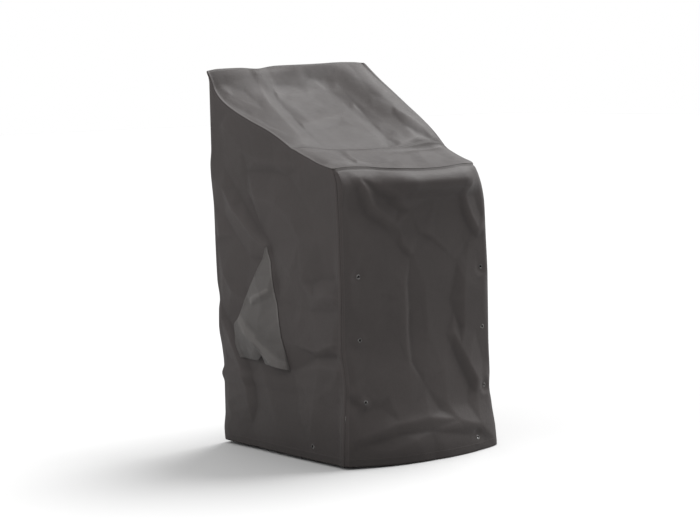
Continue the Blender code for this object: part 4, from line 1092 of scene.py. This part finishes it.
class Recipe:
    """One material and its nodes."""

    def __init__(self, name):
        self.material = bpy.data.materials.new(name)
        self.material.use_nodes = True
        self.tree = self.material.node_tree
        self.shader = self.tree.nodes["Principled BSDF"]

    def plug(self, socket, value):
        """Link a value to a socket, or set a plain number or colour there."""
        if isinstance(value, Value):
            self.tree.links.new(value.socket, socket)
        else:
            socket.default_value = value

    def node(self, kind, settings=(), inputs=(), output=0):
        """A node: settings first, then values or links of its sockets."""
        made = self.tree.nodes.new(kind)
        for key, value in dict(settings).items():
            setattr(made, key, value)
        for key, value in dict(inputs).items():
            self.plug(made.inputs[key], value)
        return Value(self, made.outputs[output])

    def maths(self, operation, *terms):
        """A Math node."""
        return self.node("ShaderNodeMath", {"operation": operation}, dict(enumerate(terms)))

    def mix(self, factor, first, second):
        """Blend two colours."""
        return self.node("ShaderNodeMix", {"data_type": "RGBA"}, {0: factor, 6: first, 7: second}, 2)

    def spot(self):
        """Places in the object's own space, in metres."""
        return self.node("ShaderNodeTexCoord", {}, {}, "Object")

    def noise(self, vector, scale, detail=3.0):
        """Uneven patches from 0 to 1."""
        facts = {"Vector": vector, "Scale": scale, "Detail": detail, "Roughness": 0.55}
        return self.node("ShaderNodeTexNoise", {}, facts)

    def measure(self, name):
        """A measure stored on the points of the cloth."""
        return self.node("ShaderNodeAttribute", {"attribute_name": name}, {}, 2)

    def feed(self, **inputs):
        """Link values to the shader, or set plain numbers."""
        for key, value in inputs.items():
            self.plug(self.shader.inputs[key.replace("_", " ")], value)

    def dress(self, piece):
        """Give a piece this material."""
        piece.data.materials.clear()
        piece.data.materials.append(self.material)


# %% [markdown]
# ## Coated cloth
# The cloth is woven polyester with a grey coating. Close by it shows a fine
# weave, a stitched seam allowance along each edge and a folded hem. From a
# distance it shows slow changes of tone and small crinkles that catch the
# light. Paler crests and darker hollows on the folds are painted highlight and
# shade, with a little real whitening where the coating is bent, and the foot
# is darkened with painted shade.

# %% The cloth recipe
THREAD_PITCH, STITCH_PITCH = 0.0013, 0.0042
STITCH_HALF, STITCH_SHARE = 0.0011, 0.68   # half its width, and thread as a share of the pitch
SIDE_STITCH, RIM_STITCH, HEM_STITCH = 0.0075, 0.0080, 0.0240   # from the edge
WELT, HEM_FOLD, SHADED_FOOT = (0.0086, 0.0100), (0.0246, 0.0262), (0.0, 0.20)   # where each dies out


def coated_cloth(name, colour, pale):
    """Woven cloth with a coating, from a dark and a pale colour."""
    cloth = Recipe(name)
    spot = cloth.spot()
    pattern = cloth.node("ShaderNodeUVMap", {"uv_map": "pattern"}, {})
    split = cloth.node("ShaderNodeSeparateXYZ", {}, {"Vector": pattern})
    across_run, up_run = split, Value(cloth, split.socket.node.outputs[1])
    turn = 2 * math.pi / THREAD_PITCH
    weave = (across_run * turn).wave() * (up_run * turn).wave()
    scales = ((2.6, 2.0), (14.0, 4.0), (90.0, 3.0), (46.0, 5.0))
    slow, middling, fine_grain, crinkle = (cloth.noise(spot, *scale) for scale in scales)
    side, hem, rim, crest = (cloth.measure(key) for key in ("side_gap", "hem_gap", "rim_gap", "crest"))

    def stitches(gap, at, run):
        """A row of stitches at one distance from an edge."""
        line = (gap - at).size().below(STITCH_HALF)
        dash = (run * (1 / STITCH_PITCH)).part().below(STITCH_SHARE)
        return line * dash

    thread = stitches(side, SIDE_STITCH, up_run) + stitches(rim, RIM_STITCH, across_run)
    thread = thread + stitches(hem, HEM_STITCH, across_run)
    folded = 1 - hem.ramp(*HEM_FOLD)
    welt = 1 - side.ramp(*WELT)
    tone = (slow - 0.5) * 0.34 + (middling - 0.5) * 0.22 + (fine_grain - 0.5) * 0.10 + weave * 0.03
    # Painted shade: the cloth is darkened from the hem up to 20 cm, where less light reaches it.
    painted_foot_shade = 1 - hem.ramp(*SHADED_FOOT)
    # crest paints paler ridges and darker hollows: painted highlight and shade on the folds, with a little
    # real whitening of the bent coating.
    light = 0.34 + tone + crest * 0.16 + thread * 0.22 - folded * 0.06 + welt * 0.09 - painted_foot_shade * 0.22
    cloth.feed(Base_Color=cloth.mix(light, (*colour, 1.0), (*pale, 1.0)))
    cloth.feed(Roughness=0.56 + (middling - 0.5) * 0.14 - crest * 0.03 + weave * 0.02)
    height = weave * 0.00006 + crinkle * 0.00090 + folded * 0.00045
    height = height + welt * 0.0003 + thread * 0.00025 + fine_grain * 0.00012
    bump = cloth.node("ShaderNodeBump", {}, {"Height": height, "Strength": 0.75, "Distance": 1.0})
    cloth.feed(Normal=bump, Specular_IOR_Level=0.13, Sheen_Weight=0.02, Sheen_Roughness=0.45)
    return cloth


cover_cloth = coated_cloth("cover_cloth", (0.0260, 0.0225, 0.0217), (0.0560, 0.0488, 0.0472))
# The flap is the same cloth as the cover; its paler colours are painted light, for the light its up-turned
# facets catch.
flap_cloth = coated_cloth("flap_cloth", (0.0460, 0.0428, 0.0411), (0.0960, 0.0894, 0.0857))
for piece in panels:
    (flap_cloth if piece is flap else cover_cloth).dress(piece)
print("cloth recipe has", len(cover_cloth.tree.nodes), "nodes")

# %% Darkened steel for the rings
steel = Recipe("eyelet_metal")
where = steel.spot()
worn, speck = steel.noise(where, 160.0, 3.0), steel.noise(where, 900.0, 2.0)
steel.feed(
    Base_Color=steel.mix(worn.ramp(0.42, 0.70), (0.050, 0.048, 0.047, 1.0), (0.180, 0.174, 0.168, 1.0)),
    Roughness=0.30 + worn * 0.22 + speck * 0.08,
    Normal=steel.node("ShaderNodeBump", {}, {"Height": speck * 0.00008, "Strength": 0.5, "Distance": 1.0}),
)
steel.feed(Metallic=0.85)
for ring in rings:
    steel.dress(ring)
print("steel recipe has", len(steel.tree.nodes), "nodes")

# %% [markdown]
# ## Hang the pieces from the root
# The fine pieces stand for the solids, which stay for contact tests, hidden.
# Each piece and each ring hangs from the root body. The size each sheet was
# cut to and how it is held are listed with it but not used.

# %% Pieces, what they replace and how they were cut
DECLARED = [
    (front, "front_panel", (0.700, 0.985), "hung"), (left_side, "side_panel_left", (0.700, 1.310), "hung"),
    (right_side, "side_panel_right", (0.715, 1.320), "hung"), (back, "back_panel", (0.700, 1.320), "hung"),
    (slope, "top_slope_panel", (0.720, 0.600), "stretched"),
    (shelf, "top_front_panel", (0.700, 0.225), "stretched"),
    (flap, "vent_flap", (0.310, 0.430), "hung"),
]
for piece, solid, cut, held in DECLARED:
    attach(piece, "root")
    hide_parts(solid)
for ring, place in zip(rings, eyelets):
    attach(ring, "root")
    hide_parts(place.name)
print(len(DECLARED), "sheets and", len(rings), "rings declared")

# %% [markdown]
# ## Studio
# A matt pale floor, an even white room, one broad lamp high up on the right and
# a weak one on the left give the soft light of a catalogue: the top is bright,
# the left side is middling and the front is darkest.

# %% Floor, room and lamps
bpy.ops.object.select_all(action="DESELECT")
bpy.ops.mesh.primitive_plane_add(size=60.0, location=(0, 0, -0.0005))
floor = bpy.context.object
floor.name = "floor"
paper = Recipe("floor_paper")
cloudy = paper.noise(paper.spot(), 0.8, 2.0)
paper.feed(Base_Color=paper.mix(cloudy, (0.45, 0.45, 0.45, 1.0), (0.47, 0.47, 0.47, 1.0)))
paper.feed(Roughness=0.9, Specular_IOR_Level=0.1)
paper.dress(floor)

room = bpy.data.worlds.new("room")
room.use_nodes = True
sky = room.node_tree.nodes["Background"].inputs
sky["Color"].default_value, sky["Strength"].default_value = (1.0, 1.0, 1.0, 1.0), 1.0
bpy.context.scene.world = room
bpy.context.scene.view_settings.view_transform = "Standard"


def lamp(name, kind, place, target, power, size):
    """One lamp that looks at a target."""
    data = bpy.data.lights.new(name, kind)
    data.energy = power
    if kind == "SUN":
        data.angle = size
    else:
        data.shape, data.size = "DISK", size
    made = bpy.data.objects.new(name, data)
    bpy.context.scene.collection.objects.link(made)
    made.location = place
    made.rotation_euler = (Vector(target) - Vector(place)).to_track_quat("-Z", "Y").to_euler()
    return made


lamp("ceiling", "SUN", (2.6, 0.1, 3.2), (0.0, 0.0, 0.0), 5.1, math.radians(46))
lamp("left_wall", "AREA", (-4.1, 0.6, 3.0), (0.0, 0.0, 0.7), 75.0, 2.4)
